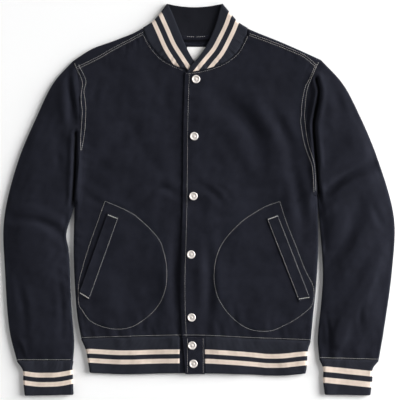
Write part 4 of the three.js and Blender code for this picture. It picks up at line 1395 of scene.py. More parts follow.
@dataclass
class Cuff:
    """One cuff, a rib tube from the sleeve to its open end."""

    lay: Lay
    side: Side
    cut: Cut
    step: float = 3.4
    bow: float = 4.6
    slant: float = 6.5

    def detail(self, places: Array) -> Array:
        """Slow waves of the stretched rib, strongest at its seam."""
        seam = Line.through((CUFF_INNER[self.side][0], CUFF_OUTER[self.side][0]))
        return rib_seam(seam, 120 + self.side.value, 0.2, 19, 18).height(places) + 0.3 * waves(places, 30, 9)

    def skew(self, places: Array, distance: Array) -> Array:
        """How far the stretched rib carries its stripes towards the open end.

        Args:
            places: x and y of each place.
            distance: Distance of each place from the open end.

        Returns:
            A bow on the right cuff and a slant on the left one.
        """
        if self.side is Side.RIGHT:
            return self.bow * np.sin(math.pi / 2 * np.clip(self.lay.inside(places) / 38, 0, 1)) - 2.0
        inner, outer = CUFF_INNER[self.side][-1][0], CUFF_OUTER[self.side][-1][0]
        share = np.clip((places[..., 0] - inner) / (outer - inner), 0, 1)
        return self.slant * share - 2.5 - 0.16 * (distance - 15)

    def build(self, finish: Material) -> Piece:
        """Makes the cuff.

        Args:
            finish: The material it wears.

        Returns:
            The piece.
        """
        inner, outer = CUFF_INNER[self.side], CUFF_OUTER[self.side]
        width = math.dist(inner[1], outer[1])
        half = rib_columns(width + (math.pi - 2) * ROLL)
        tube = Tube(
            self.lay, Line.through(inner), Line.through(outer),
            start=across_row(inner[0], outer[0], -SEAM),
            end=across_row(inner[-1], outer[-1], 0),
            rows=stations(Line.through(inner).length, self.step, Border.CUT, Border.CUT),
            thickness=RIB,
        )
        grid = tube.ring(even_shares(half), even_shares(half), self.detail, lambda places: 0.2 + 0 * places[..., 0])
        if self.side is Side.LEFT:
            grid = grid[:, ::-1]
        name = self.side.name.lower()
        wide = np.hstack([grid, grid[:, :1]])
        free = Line.through((inner[-1], outer[-1]))
        distance = free.measure(wide)[0]
        facts = rib_facts(wide, distance + self.skew(wide, distance))
        shell = Shell(f"rib_cuff_{name}", grid, RIB, ring=True, ribs=rib_height(grid), facts=facts)
        return dress(shell.build(), f"cuff_{name}", finish)


def strip(seam: Array, free: Array, start: Line, end: Line, across: Array,
          up: Array) -> Array:
    """Strip of a band between its seam and its free edge.

    Args:
        seam: Places along the seam, one for each column.
        free: Places along the free edge.
        start: Line of the first column.
        end: Line of the last column.
        across: Share of each column.
        up: Share of each row.

    Returns:
        x and y of each place.
    """
    first, last = start.at(up), end.at(up)
    first[0], first[-1], last[0], last[-1] = seam[0], free[0], seam[-1], free[-1]
    return blend(seam, free, first, last, across, up)


def towards_fold(count: int, length: float) -> Array:
    """Shares along a strip that ends at a folded edge, at even steps of its surface."""
    return 1 - rolled(np.linspace(0, length + (math.pi / 2 - 1) * ROLL, count + 1)[::-1]) / length


def joined(strips: Sequence[Array]) -> Array:
    """Strips side by side in one, each sharing its first column with the last one before."""
    return np.hstack([strips[0]] + [part[:, 1:] for part in strips[1:]])


@dataclass
class Collar:
    """The collar: one strip of rib, folded beside the neck on both sides."""

    lay: Lay
    cut: Cut
    length: float = 150.0
    height: float = 62.0
    under_from: float = -14.0
    over_to: float = 6.0
    step: float = 3.4

    def front(self, side: Side, up: Array) -> Array:
        """Half of the collar, from its front end to its folded edge.

        Args:
            side: The wearer's side.
            up: Shares of the height for the rows.

        Returns:
            Places in rows and columns.
        """
        seam, top, fold = (Line.through(table[side]) for table in (COLLAR_SEAM, COLLAR_TOP, COLLAR_FOLD))
        across = towards_fold(rib_columns(self.length), self.length)
        places = strip(seam.at(across), top.at(across), Line.through((seam.points[0], top.points[0])),
                       fold, across, up)
        x = places[..., 0]
        if side is Side.RIGHT:
            lap = UNDERLAP * ease((x - self.under_from + LAP_FADE) / LAP_FADE)
        else:
            lap = COLLAR_OVERLAP * ease((self.over_to + LAP_FADE - x) / LAP_FADE)
        detail = rib_seam(seam, 140 + side.value, 0.4, 14, 14).height(places) + 0.35 * waves(places, 46, 11)
        return raised(places, self.lay.upper(places, RIB, detail, lap))

    def from_stripe(self, side: Side, places: Array) -> Array:
        """How far places lie from the inner stripe, towards the neck seam."""
        distance, _, turn = Line.through(COLLAR_STRIPE[side]).measure(places)
        return side.value * turn * distance

    def build(self, finish: Material) -> Piece:
        """Makes the collar.

        Args:
            finish: The material it wears.

        Returns:
            The piece.
        """
        up = stations(self.height, self.step, Border.CUT, Border.CUT)
        halves = {side: self.front(side, up) for side in Side}
        across = even_shares(rib_columns(self.length, 2.0))(self.length)
        neck, top = Line.through(BACK_NECK).moved(0, SEAM), Line.through(COLLAR_TOP_BACK)
        places = strip(neck.at(across), top.at(across), Line.through(COLLAR_FOLD[Side.RIGHT]),
                       Line.through(COLLAR_FOLD[Side.LEFT]), across, up)
        behind = raised(places, self.lay.lower(places, RIB, 0.2 + 0.3 * waves(places, 50, 12)))
        grid = joined([halves[Side.RIGHT], behind, halves[Side.LEFT][:, ::-1]])[:, ::-1]
        back_rows = 0.9 * ((1 - up) * 67 - 25)[:, None] + 0 * behind[..., 0]
        from_stripe = {side: self.from_stripe(side, halves[side]) for side in Side}
        free = joined([from_stripe[Side.RIGHT], back_rows, from_stripe[Side.LEFT][:, ::-1]])[:, ::-1]
        shell = Shell("rib_collar", grid, RIB, ribs=rib_height(grid), facts=rib_facts(grid, free))
        return dress(shell.build(), "collar", finish)


@dataclass
class HemBand:
    """The hem band: one strip of rib from one front tab round the back to the other."""

    lay: Lay
    cut: Cut
    height: float = 70.0
    step: float = 3.6

    def detail(self, places: Array) -> Array:
        """Slow waves of the stretched rib, strongest at its seam."""
        return rib_seam(Line.through(HEM_TOP), 160, 0.2, 21, 18).height(places) + 0.35 * waves(places, 34, 13)

    def front(self, side: Side, edge_x: float, up: Array) -> Array:
        """Half of the band's front, from its tab to the folded side.

        Args:
            side: The wearer's side.
            edge_x: Where it meets its tab.
            up: Shares of the height for the rows.

        Returns:
            Places in rows and columns.
        """
        top, bottom, fold = Line.through(HEM_TOP), Line.through(HEM_BOTTOM), Line.through(HEM_SIDE[side])
        length = abs(HEM_SIDE[side][0][0] - edge_x)
        across = towards_fold(rib_columns(length), length)
        seam_x = edge_x + (HEM_SIDE[side][0][0] - edge_x) * across
        free_x = edge_x + (HEM_SIDE[side][-1][0] - edge_x) * across
        seam = np.stack([seam_x, top.y_at(seam_x) - SEAM], -1)
        free = np.stack([free_x, bottom.y_at(free_x)], -1)
        places = strip(seam, free, Line.through((seam[0], free[0])), fold, across, up)
        return raised(places, self.lay.upper(places, RIB, self.detail(places)))

    def build(self, finish: Material) -> Piece:
        """Makes the hem band.

        Args:
            finish: The material it wears.

        Returns:
            The piece.
        """
        up = stations(self.height, self.step, Border.CUT, Border.CUT)
        right = self.front(Side.RIGHT, TAB_UNDER_FROM - SEAM, up)
        left = self.front(Side.LEFT, TAB_OVER_TO + SEAM, up)[:, ::-1]
        width = HEM_SIDE[Side.LEFT][0][0] - HEM_SIDE[Side.RIGHT][0][0]
        across = even_shares(rib_columns(width))(width)
        top, bottom = Line.through(HEM_TOP).moved(0, -SEAM), Line.through(HEM_BOTTOM)
        places = strip(top.at(across), bottom.at(across), Line.through(HEM_SIDE[Side.RIGHT]),
                       Line.through(HEM_SIDE[Side.LEFT]), across, up)
        behind = raised(places, self.lay.lower(places, RIB, 0.2 + 0.3 * waves(places, 40, 14)))
        grid = joined([right, behind, left])
        free = bottom.measure(grid)[0] + np.interp(grid[..., 0], *HEM_STRIPE_DROP)
        shell = Shell("rib_hem", grid, RIB, ribs=rib_height(grid), facts=rib_facts(grid, free))
        return dress(shell.build(), "hem_rib", finish)


@dataclass
class HemTab:
    """A flat cloth tab that closes an end of the hem band."""

    lay: Lay
    node: str
    cut: Cut
    x_from: float
    x_to: float
    top: float
    bottom: float
    lap: float
    slant: float = 0.0
    step: float = 2.2

    def build(self, finish: Material) -> Piece:
        """Makes the tab.

        Args:
            finish: The material it wears.

        Returns:
            The piece.
        """
        across = stations(self.x_to - self.x_from, self.step, Border.SEAM, Border.SEAM)
        up = stations(self.top - self.bottom, self.step, Border.SEAM, Border.SEAM)
        u, v = np.meshgrid(across, up)
        x = self.x_from + self.slant * v * (1 - u) + (self.x_to - self.x_from) * u
        places = np.stack([x, self.top - SEAM + (self.bottom - self.top) * v], -1)
        margin = np.minimum(np.minimum(u, 1 - u) * (self.x_to - self.x_from),
                            np.minimum(v, 1 - v) * (self.top - self.bottom))
        furrow = -0.3 * np.exp(-(((margin - 3) / 1.1) ** 2))
        detail = furrow + snap_relief(places) + 0.25 * waves(places, 26, 17)
        grid = raised(places, self.lay.upper(places, CLOTH, detail, self.lap))[:, ::-1]
        facts = {"grain": grid[..., :2], "edge": UNWORN + 0 * grid[..., 0]}
        shell = Shell("cloth_" + self.node, grid, CLOTH, facts=facts)
        return dress(shell.build(), self.node, finish)


@dataclass(frozen=True)
class Surface:
    """The surfaces of pieces that others are sewn on, looked at from above or from below."""

    trees: tuple[BVHTree, ...]

    @staticmethod
    def of(*pieces: Piece) -> "Surface":
        """Reads the surfaces of some pieces.

        Args:
            pieces: The pieces.

        Returns:
            Their surface.
        """
        bpy.context.view_layer.update()
        graph = bpy.context.evaluated_depsgraph_get()
        return Surface(tuple(BVHTree.FromObject(piece, graph) for piece in pieces))

    def height(self, x: float, y: float, start: float = ABOVE_ALL) -> float:
        """Height of the first surface met from a starting height, in millimetres.

        Args:
            x: Place across.
            y: Place towards the neck.
            start: Height where the look starts: downwards, or upwards where it is negative.

        Returns:
            The height, or nan where nothing is met.
        """
        way = Vector((0, 0, -1 if start > 0 else 1))
        origin = Vector((x, y, start)) * METRES
        hits = [hit[0].z / METRES for hit in (tree.ray_cast(origin, way) for tree in self.trees) if hit[0]]
        return (max(hits) if start > 0 else min(hits)) if hits else math.nan

    def heights(self, places: Array, start: float = ABOVE_ALL) -> Array:
        """Height at each place, with the nearest found one where nothing is met.

        Args:
            places: Points, with x and y last.
            start: Height from which it looks down, or up if it is below.

        Returns:
            The heights.
        """
        flat = places.reshape(-1, 2)
        found = np.array([self.height(x, y, start) for x, y in flat])
        known = np.flatnonzero(~np.isnan(found))
        found = np.interp(np.arange(len(found)), known, found[known])
        return found.reshape(places.shape[:-1])


def laid(name: str, places: Array, carrier: Surface, thickness: float, facts: dict[str, Array],
         start: float = ABOVE_ALL, crown: Any = 0.0) -> Shell:
    """A thin piece that lies on others.

    Args:
        name: Name of the piece.
        places: x and y of its middle places, in rows and columns.
        carrier: What it lies on.
        thickness: Thickness of the wall.
        facts: Values that its finish reads.
        start: Height from which the carrier is looked for.
        crown: Height added at each place.

    Returns:
        The shell, which is still to be built.
    """
    under = carrier.heights(places, start)
    smooth = under.copy()
    smooth[1:-1] = (under[:-2] + under[1:-1] + under[2:]) / 3
    smooth = np.maximum(smooth, under)
    return Shell(name, raised(places, smooth + LIFT + thickness / 2 + crown), thickness, facts=facts)


@dataclass
class PocketWelt:
    """A slanted single welt: a folded strip, sewn down along its ends and its lower side."""

    side: Side
    cut: Cut
    top: tuple[float, float]
    end: tuple[float, float]
    width: float = 23.0
    step: float = 2.6

    @property
    def axes(self) -> tuple[Array, Array, float]:
        """Way along the welt, way across it towards the placket, and its length.

        Returns:
            Both ways and the length.
        """
        slant = np.subtract(self.end, self.top)
        length = float(np.hypot(*slant))
        along = slant / length
        across = np.array([-along[1], along[0]])
        return along, across, length

    def build(self, carrier: Surface, finish: Material) -> Piece:
        """Makes the welt on its front.

        Args:
            carrier: The pieces that it lies on.
            finish: The material it wears.

        Returns:
            The piece.
        """
        along, across, length = self.axes
        v, u = np.meshgrid(stations(length, self.step, Border.SEAM, Border.SEAM),
                           stations(self.width, self.step, Border.CUT, Border.CUT), indexing="ij")
        places = np.array(self.top) + (v * length)[..., None] * along + ((u - 0.5) * self.width)[..., None] * across
        margin = np.minimum(np.minimum(u, 1 - u) * self.width, np.minimum(v, 1 - v) * length)
        crown = 0.35 * ease(margin / 6) - 0.25 * np.exp(-(((margin - 2.2) / 1.1) ** 2)) + 0.2 * waves(places, 24, 21)
        if self.side is Side.RIGHT:
            crown += 1.1 * ease(1 - u * 2.2) * ease(np.minimum(v, 1 - v) * 9)
        grain = np.stack([u * self.width, v * length], -1)
        name = self.side.name.lower()
        shell = laid(f"cloth_welt_{name}", places[:, ::-1], carrier, WELT,
                     {"grain": grain[:, ::-1], "edge": margin[:, ::-1]}, crown=crown[:, ::-1])
        return dress(shell.build(), f"pocket_welt_{name}", finish)

    def line(self, start: tuple[float, float], end: tuple[float, float]) -> Line:
        """Straight line on the welt, between places across towards the placket and along from the top."""
        along, across, _ = self.axes
        return Line.of(np.array([np.array(self.top) + across * a + along * b for a, b in (start, end)]))

    def stitches(self) -> list["StitchRow"]:
        """Bar tacks at both ends, and the rows along the long sides that are sewn down.

        Returns:
            The rows.
        """
        half, length = self.width / 2 - 1.3, self.axes[2]
        tacks = (((half, 2.4), (-half, 2.0)), ((half, length - 1.6), (-half, length - 6.0)))
        rows = [StitchRow(self.line(start, end).closer(gap), weight=1.15) for start, end in tacks for gap in (0, 0.7)]
        rows.append(StitchRow(self.line((half, 2.4), (half, length - 5)), weight=0.6))
        if self.side is Side.LEFT:
            rows.append(StitchRow(self.line((-half, 4), (-half, length - 9)), weight=0.62))
        return rows


@dataclass
class NeckTrim:
    """What shows inside the neck: the tape over the seam, the hanger loop and the bare label."""

    tape_cut: Cut
    label_cut: Cut
    tape_half: float = 6.6
    loop_half: float = 2.0
    # where and how wide the painted shade of the slot above the hanger loop runs along the tape
    slot_shade_at: float = 3.6
    slot_shade_half: float = 2.4
    label_half: float = 18.5
    label_top: float = 298.0
    label_bottom: float = 264.0

    def band(self, name: str, line: Line, half: float, carrier: Surface, thickness: float) -> Shell:
        """A narrow band that follows a line on the lower layer.

        Args:
            name: Name of the piece.
            line: The line.
            half: Half of its width.
            carrier: The pieces that it lies on.
            thickness: Thickness of the cloth.

        Returns:
            The band, not yet built.
        """
        v = stations(line.length, 2.5, Border.CUT, Border.CUT)
        u = stations(2 * half, 1.3, Border.CUT, Border.CUT)
        points = line.at(v)
        way = np.gradient(points, axis=0)
        way /= np.linalg.norm(way, axis=1, keepdims=True)
        normal = np.stack([way[:, 1], -way[:, 0]], -1)
        places = points[:, None] + normal[:, None] * ((u * 2 - 1) * half)[None, :, None]
        grain = np.stack(np.broadcast_arrays(u[None] * 2 * half, v[:, None] * line.length), -1)
        # painted shade: a dark band along the lower part of the tape, for the shade of the slot above the hanger loop
        slot_shade = np.exp(-(((u * 2 - 1) * half - self.slot_shade_at) / self.slot_shade_half) ** 4) if half > 5 else 0 * u
        facts = {"grain": grain, "edge": UNWORN + 0 * grain[..., 0], "gap": slot_shade[None] + 0 * v[:, None]}
        return laid(name, places, carrier, thickness, facts, INSIDE)

    def build(self, carrier: Surface, finish: Material, label: Material) -> list[Piece]:
        """Makes the tape, the loop and the label.

        Args:
            carrier: The pieces that it lies on.
            finish: The material it wears.
            label: The material of the label.

        Returns:
            The three pieces.
        """
        share = np.linspace(0.1, 0.9, 60)
        tape = self.band("trim_neck_tape", Line.of(Line.through(BACK_NECK).at(share)), self.tape_half, carrier, TAPE)
        loop_line = Line.through(((-24, 304.6), (0, 300.9), (24, 304.6)))
        loop = self.band("trim_hanger_loop", loop_line, self.loop_half, carrier, TAPE)
        u, v = np.meshgrid(stations(2 * self.label_half, 1.5, Border.CUT, Border.CUT),
                           stations(self.label_top - self.label_bottom, 1.5, Border.CUT, Border.CUT))
        places = np.stack([(u * 2 - 1) * self.label_half,
                           self.label_bottom + v * (self.label_top - self.label_bottom)], -1)
        plate = laid("label_bare", places, carrier, 0.8, {"grain": places, "edge": UNWORN + 0 * u}, INSIDE,
                     crown=0.12 * waves(places, 26, 23))
        return [
            dress(tape.build(), "neck_tape", finish),
            dress(loop.build(), "hanger_loop", finish),
            dress(plate.build(), "neck_label", label),
        ]


def ring_faces(rings: int, count: int) -> list[tuple[int, ...]]:
    """Faces between rings of points, each joined to the next."""
    return [(s * count + i, s * count + (i + 1) % count, (s + 1) * count + (i + 1) % count, (s + 1) * count + i)
            for s in range(rings - 1) for i in range(count)]


@dataclass
class SnapCaps:
    """The round metal caps down the placket and on the hem tab."""

    sides: int = 56
    seat_ring: float = 6.5
    foot: float = -0.25
    crown: float = 2.28
    profile: tuple[tuple[float, float], ...] = (
        (7.2, -0.25), (7.75, 0.0), (8.0, 0.45), (8.0, 1.3), (7.86, 1.85), (7.5, 2.3), (6.95, 2.52),
        (6.4, 2.5), (5.95, 2.28), (5.6, 1.92), (5.25, 1.7), (4.7, 1.6), (3.4, 1.62), (2.5, 1.66), (2.2, 1.72),
        (2.02, 1.92), (1.8, 2.12), (1.3, 2.24), (0.6, 2.28),
    )

    def build(self, carrier: Surface, finish: Material) -> list[Piece]:
        """Makes every cap and seats it on the cloth.

        Args:
            carrier: The pieces that it lies on.
            finish: The material it wears.

        Returns:
            The caps.
        """
        made = []
        turn = np.linspace(0, 2 * math.pi, self.sides, endpoint=False)
        ring = np.stack([np.cos(turn), np.sin(turn)], -1)
        for number, (x, y) in enumerate(SNAP_PLACES, 1):
            around = np.array([(x, y)] + [(x + self.seat_ring * a, y + self.seat_ring * b) for a, b in ring[::7]])
            seat = float(carrier.heights(around).max()) + 0.1
            points = [(x + r * a, y + r * b, seat + z) for r, z in self.profile for a, b in ring]
            points += [(x, y, seat + self.foot), (x, y, seat + self.crown)]
            count, last = self.sides, (len(self.profile) - 1) * self.sides
            faces = ring_faces(len(self.profile), count)
            faces += [(len(points) - 2, (i + 1) % count, i) for i in range(count)]
            faces += [(last + i, last + (i + 1) % count, len(points) - 1) for i in range(count)]
            cap = smooth_piece(f"snap_{number}", np.array(points), faces)
            away = np.array([math.hypot(px - x, py - y) for px, py, _ in points], np.float32)
            cap.data.attributes.new("radius", "FLOAT", "POINT").data.foreach_set("value", away)
            made.append(dress(cap, f"snap_cap_{number}", finish))
        return made


@dataclass(frozen=True)
class StitchRow:
    """One row of topstitching along a line."""

    line: Line
    offset: float = 0.0
    below: bool = False
    start: float = ABOVE_ALL
    weight: float = 1.0

    def places(self, pitch: float) -> Array:
        """Middle of each stitch and the way along it: x, y, way x, way y.

        Args:
            pitch: Distance between two stitches.

        Returns:
            One row of numbers for each stitch.
        """
        count = max(round(self.line.length / pitch), 1)
        share = (np.arange(count) + 0.5) / count
        step = 0.4 * pitch / self.line.length
        way = self.line.at(share + step) - self.line.at(share - step)
        way /= np.linalg.norm(way, axis=1, keepdims=True)
        normal = np.stack([-way[:, 1], way[:, 0]], -1)
        return np.hstack([self.line.at(share) + normal * self.offset, way])


@dataclass
class Topstitching:
    """Contrast sewing: each stitch is a short twisted thread that dips into the cloth at its ends."""

    carrier: Surface
    pitch: float = 3.6
    length: float = 3.15
    sections: tuple[tuple[float, float, float], ...] = (
        (-0.5, -0.16, 0.12), (-0.34, 0.12, 0.3), (0.0, 0.2, 0.36), (0.34, 0.12, 0.3), (0.5, -0.16, 0.12),
    )
    sides: int = 6
    jump: float = 1.6    # a stitch is left out where the cloth rises by more than this below it

    def row(self, row: StitchRow) -> tuple[list[Array], list[Array]]:
        """Points of every stitch of a row, with how far along the row each is.

        Args:
            row: The row.

        Returns:
            Rings of points, and their distances along the row.
        """
        turn = np.linspace(0, 2 * math.pi, self.sides, endpoint=False)
        points, along = [], []
        up = -1.0 if row.below else 1.0
        start = -ABOVE_ALL if row.below else row.start
        for number, (x, y, wx, wy) in enumerate(row.places(self.pitch)):
            half = self.length / 2
            ends = [self.carrier.height(x + wx * t * half, y + wy * t * half, start) for t in (-1, 0, 1)]
            if any(math.isnan(z) for z in ends) or max(ends) - min(ends) > self.jump:
                continue
            for t, lift, radius in self.sections:
                z = np.interp(t * 2, (-1, 0, 1), ends)
                spread = radius * row.weight * np.cos(turn)
                centre = (x + wx * t * self.length, y + wy * t * self.length)
                points.append(np.stack([centre[0] - wy * spread, centre[1] + wx * spread,
                                        z + up * (lift + radius * row.weight * np.sin(turn))], -1))
                along.append(np.full(self.sides, number * self.pitch + t * self.length))
        return points, along

    def build(self, name: str, rows: Sequence[StitchRow], finish: Material) -> Piece:
        """Makes all the rows as one piece.

        Args:
            name: Name of the piece.
            rows: The rows of stitches.
            finish: Material of the thread.

        Returns:
            The piece.
        """
        points, along = [], []
        for row in rows:
            found, reach = self.row(row)
            points += found
            along += reach
        stitches = len(points) // len(self.sections)
        count, deep = self.sides, len(self.sections)
        one = ring_faces(deep, count) + [tuple(range(count - 1, -1, -1)),
                                         tuple((deep - 1) * count + i for i in range(count))]
        faces = [tuple(stitch * deep * count + i for i in face) for stitch in range(stitches) for face in one]
        piece = smooth_piece(name, np.vstack(points), faces)
        reach = np.concatenate(along).astype(np.float32)
        piece.data.attributes.new("along", "FLOAT", "POINT").data.foreach_set("value", reach)
        piece.data.materials.append(finish)
        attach(piece, "root")
        LOG.info("%s: %d stitches", name, stitches)
        return piece


ARMHOLE_STITCH = {
    Side.RIGHT: (
        ((-237.5, 266), (-234, 258), (-229.4, 248.8), (-223.5, 235.4), (-221.4, 224.8), (-222.6, 217),
         (-224, 204), (-224, 190.5), (-222, 173), (-223.1, 152), (-224.1, 138.6), (-225.3, 111), (-224.9, 96)),
        ((-229, 263.5), (-224.6, 253.5), (-219.4, 243.6), (-215.3, 233.2), (-215.6, 224.8), (-217.8, 217.6),
         (-218.8, 209.2), (-216.3, 193.6), (-215.3, 173), (-215.7, 157.4), (-216.8, 138.6), (-219.6, 118),
         (-223.6, 97)),
    ),
    Side.LEFT: (
        ((231, 263), (226.4, 251), (220, 236.3), (211.8, 219.8), (207.5, 201), (204.9, 183), (204.4, 168),
         (202.8, 153), (204.4, 139.6), (209.2, 113), (217, 88), (223.7, 70), (226.5, 49), (228, 15)),
        ((237.5, 268), (232.5, 258), (226, 243), (219.5, 228), (214.8, 211.4), (212.3, 192.7), (211.3, 178),
         (210.2, 163.6), (211.2, 153), (212.2, 139.6), (216.5, 113), (223.5, 88), (229, 70), (230.8, 49), (232, 14)),
    ),
}


def topstitch_rows(welts: Sequence[PocketWelt]) -> list[StitchRow]:
    """Every row of topstitching on the jacket.

    Args:
        welts: The pocket welts.

    Returns:
        The rows.
    """
    rows = []
    for side in Side:
        sign = side.value
        rows += [StitchRow(Line.through(table), weight=0.75) for table in ARMHOLE_STITCH[side]]
        rows += [StitchRow(Line.through(SHOULDER_SEAM[side]), -sign * offset, weight=0.7) for offset in (1.6, 5.4)]
        neck = Line.through(NECK_SEAM[side]).points
        shown = neck[neck[:, 0] < -26] if side is Side.RIGHT else neck[neck[:, 0] > -21]
        rows.append(StitchRow(Line.of(shown), sign * 2.6, weight=0.5))
        rows.append(StitchRow(Line.through(POCKET_BAG[side], 6), weight=0.62))
        cuff = Line.through((SLEEVE_INNER[side][-1], SLEEVE_OUTER[side][-1]))
        rows.append(StitchRow(cuff, sign * 2.4, weight=0.8))
        rows.append(StitchRow(cuff, sign * 2.4, below=True, weight=0.8))
        armhole = BodyLine.of(side).armhole
        rows += [StitchRow(armhole, sign * offset, below=True) for offset in (3.0, 9.5)]
    rows.append(StitchRow(Line.through(FRONT_EDGE[Side.LEFT]), -8.6, weight=0.5))
    rows += [StitchRow(Line.through(HEM_TOP), 2.4, below=below, weight=0.62) for below in (False, True)]
    rows += [StitchRow(Line.through(((x, -269), (x, -336))), weight=0.5) for x in (-17.5, 13.0)]
    for welt in welts:
        rows += welt.stitches()
    return rows


@dataclass
class Nodes:
    """Places nodes in one tree and joins them."""

    tree: bpy.types.NodeTree

    def add(self, kind: str, inputs: Optional[dict[Any, Any]] = None, **settings: Any) -> bpy.types.Node:
        """Adds a node.

        Args:
            kind: Type of the node.
            inputs: Value or output for each of its inputs, by name or number.
            settings: Its own settings.

        Returns:
            The node.
        """
        node = self.tree.nodes.new(kind)
        for name, value in settings.items():
            setattr(node, name, value)
        for name, value in (inputs or {}).items():
            self.feed(node.inputs[name], value)
        return node

    def feed(self, socket: Socket, value: Any) -> None:
        """Sets an input, or joins an output to it.

        Args:
            socket: The input.
            value: The value or output.
        """
        if isinstance(value, bpy.types.NodeSocket):
            self.tree.links.new(value, socket)
        else:
            socket.default_value = value

    def math(self, operation: str, *values: Any) -> Socket:
        """Output of a math node."""
        return self.add("ShaderNodeMath", dict(enumerate(values)), operation=operation).outputs[0]

    def clamped(self, *values: Any) -> Socket:
        """Product of values, held between 0 and 1."""
        return self.add("ShaderNodeMath", dict(enumerate(values)), operation="MULTIPLY", use_clamp=True).outputs[0]

    def times(self, first: Any, second: Any) -> Socket:
        """Product of two values."""
        return self.math("MULTIPLY", first, second)

    def plus(self, first: Any, second: Any) -> Socket:
        """Sum of two values."""
        return self.math("ADD", first, second)

    def mix(self, factor: Any, first: Any, second: Any) -> Socket:
        """Mix of two colours."""
        return self.add("ShaderNodeMix", {0: factor, 6: first, 7: second}, data_type="RGBA").outputs[2]

    def ramp(self, value: Any, low: float, high: float, to_low: float = 0.0, to_high: float = 1.0) -> Socket:
        """Value carried smoothly from one range to another."""
        return self.add("ShaderNodeMapRange", {0: value, 1: low, 2: high, 3: to_low, 4: to_high},
                        interpolation_type="SMOOTHSTEP").outputs[0]

    def noise(self, vector: Any, scale: float, detail: float = 3.0) -> Socket:
        """Noise over a vector."""
        return self.add("ShaderNodeTexNoise", {"Vector": vector, "Scale": scale, "Detail": detail}).outputs[0]

    def fact(self, name: str, output: str = "Fac") -> Socket:
        """A value that the mesh carries."""
        return self.add("ShaderNodeAttribute", attribute_name=name).outputs[output]


@dataclass(frozen=True)
class Effect:
    """A surface effect that several finishes share, kept as one node group."""

    name: str
    inputs: dict[str, str]
    outputs: dict[str, str]
    draw: Callable[[Nodes, Any], dict[str, Socket]]

    def group(self) -> bpy.types.NodeTree:
        """Finds the node group, or makes it when it is first used.

        Returns:
            The group.
        """
        if self.name in bpy.data.node_groups:
            return bpy.data.node_groups[self.name]
        tree = bpy.data.node_groups.new(self.name, "ShaderNodeTree")
        for ways, direction in ((self.inputs, "INPUT"), (self.outputs, "OUTPUT")):
            for name, kind in ways.items():
                tree.interface.new_socket(name=name, in_out=direction, socket_type=f"NodeSocket{kind}")
        nodes = Nodes(tree)
        entry, leave = nodes.add("NodeGroupInput"), nodes.add("NodeGroupOutput")
        for name, value in self.draw(nodes, entry.outputs).items():
            nodes.feed(leave.inputs[name], value)
        return tree

    def use(self, nodes: Nodes, **inputs: Any) -> Any:
        """Outputs of the group, placed in a finish with its own values.

        Args:
            nodes: Where the nodes go.
            inputs: Value or output for each input, by name.

        Returns:
            Its outputs, by name.
        """
        node = nodes.add("ShaderNodeGroup", node_tree=self.group())
        for name, value in inputs.items():
            nodes.feed(node.inputs[name], value)
        return node.outputs


def draw_twill(nodes: Nodes, given: Any) -> dict[str, Socket]:
    """Diagonal ribs of a twill, broken by the yarns that cross them.

    Args:
        nodes: Where the nodes go.
        given: Outputs of the group's entry.

    Returns:
        Each output of the group by name.
    """
    xyz = nodes.add("ShaderNodeSeparateXYZ", {0: given["Grain"]}).outputs
    warp = nodes.math("DIVIDE", nodes.plus(xyz[0], nodes.times(xyz[1], 0.72)), given["Pitch"])
    weft = nodes.math("DIVIDE", nodes.math("SUBTRACT", xyz[1], nodes.times(xyz[0], 0.2)), given["Pitch"])
    ridge = nodes.math("SINE", nodes.times(warp, 2 * math.pi))
    cross = nodes.math("SINE", nodes.times(weft, 3.1 * math.pi))
    yarn = nodes.noise(given["Grain"], 1.4, 4.0)
    weave = nodes.plus(nodes.times(ridge, 0.6), nodes.times(cross, 0.25))
    height = nodes.plus(weave, nodes.times(yarn, 0.5))
    return {"Height": height, "Shade": nodes.ramp(height, -0.9, 1.2)}


def draw_wash(nodes: Nodes, given: Any) -> dict[str, Socket]:
    """Uneven fading of a dyed cloth, stronger where it folds or ends.

    Args:
        nodes: Where the nodes go.
        given: Outputs of the group's entry.

    Returns:
        Each output of the group by name.
    """
    cloudy = nodes.noise(given["Grain"], 0.016, 3.0)
    patchy = nodes.noise(given["Grain"], 0.09, 4.0)
    specks = nodes.noise(given["Grain"], 0.6, 2.0)
    fade = nodes.plus(nodes.times(cloudy, 0.6), nodes.times(patchy, 0.4))
    folds = nodes.ramp(given["Edge"], 3.2, 0.0)
    ends = nodes.ramp(given["Border"], 1.3, 0.0)
    rubbed = nodes.times(nodes.math("MAXIMUM", folds, ends), nodes.ramp(specks, 0.3, 0.7))
    return {"Fade": nodes.ramp(fade, 0.36, 0.64), "Rubbed": rubbed}


def draw_knit(nodes: Nodes, given: Any) -> dict[str, Socket]:
    """Loops of a rib knit, and the painted shade between its ribs.

    Args:
        nodes: Where the nodes go.
        given: Outputs of the group's entry.

    Returns:
        Each output of the group by name.
    """
    xyz = nodes.add("ShaderNodeSeparateXYZ", {0: given["Knit"]}).outputs
    turn = nodes.times(xyz[0], 2 * math.pi)
    crest = nodes.math("COSINE", turn)
    beside = nodes.math("ABSOLUTE", nodes.math("SINE", turn))
    slanted = nodes.plus(nodes.times(xyz[1], 4.2), nodes.times(beside, 2.4))
    loops = nodes.times(nodes.math("SINE", slanted), nodes.ramp(crest, -0.8, 0.6))
    fuzz = nodes.noise(given["Knit"], 2.6, 3.0)
    height = nodes.plus(nodes.times(loops, 0.5), nodes.times(fuzz, 0.7))
    return {"Height": height, "Valley": nodes.ramp(crest, 0.1, -1.0), "Fuzz": fuzz}


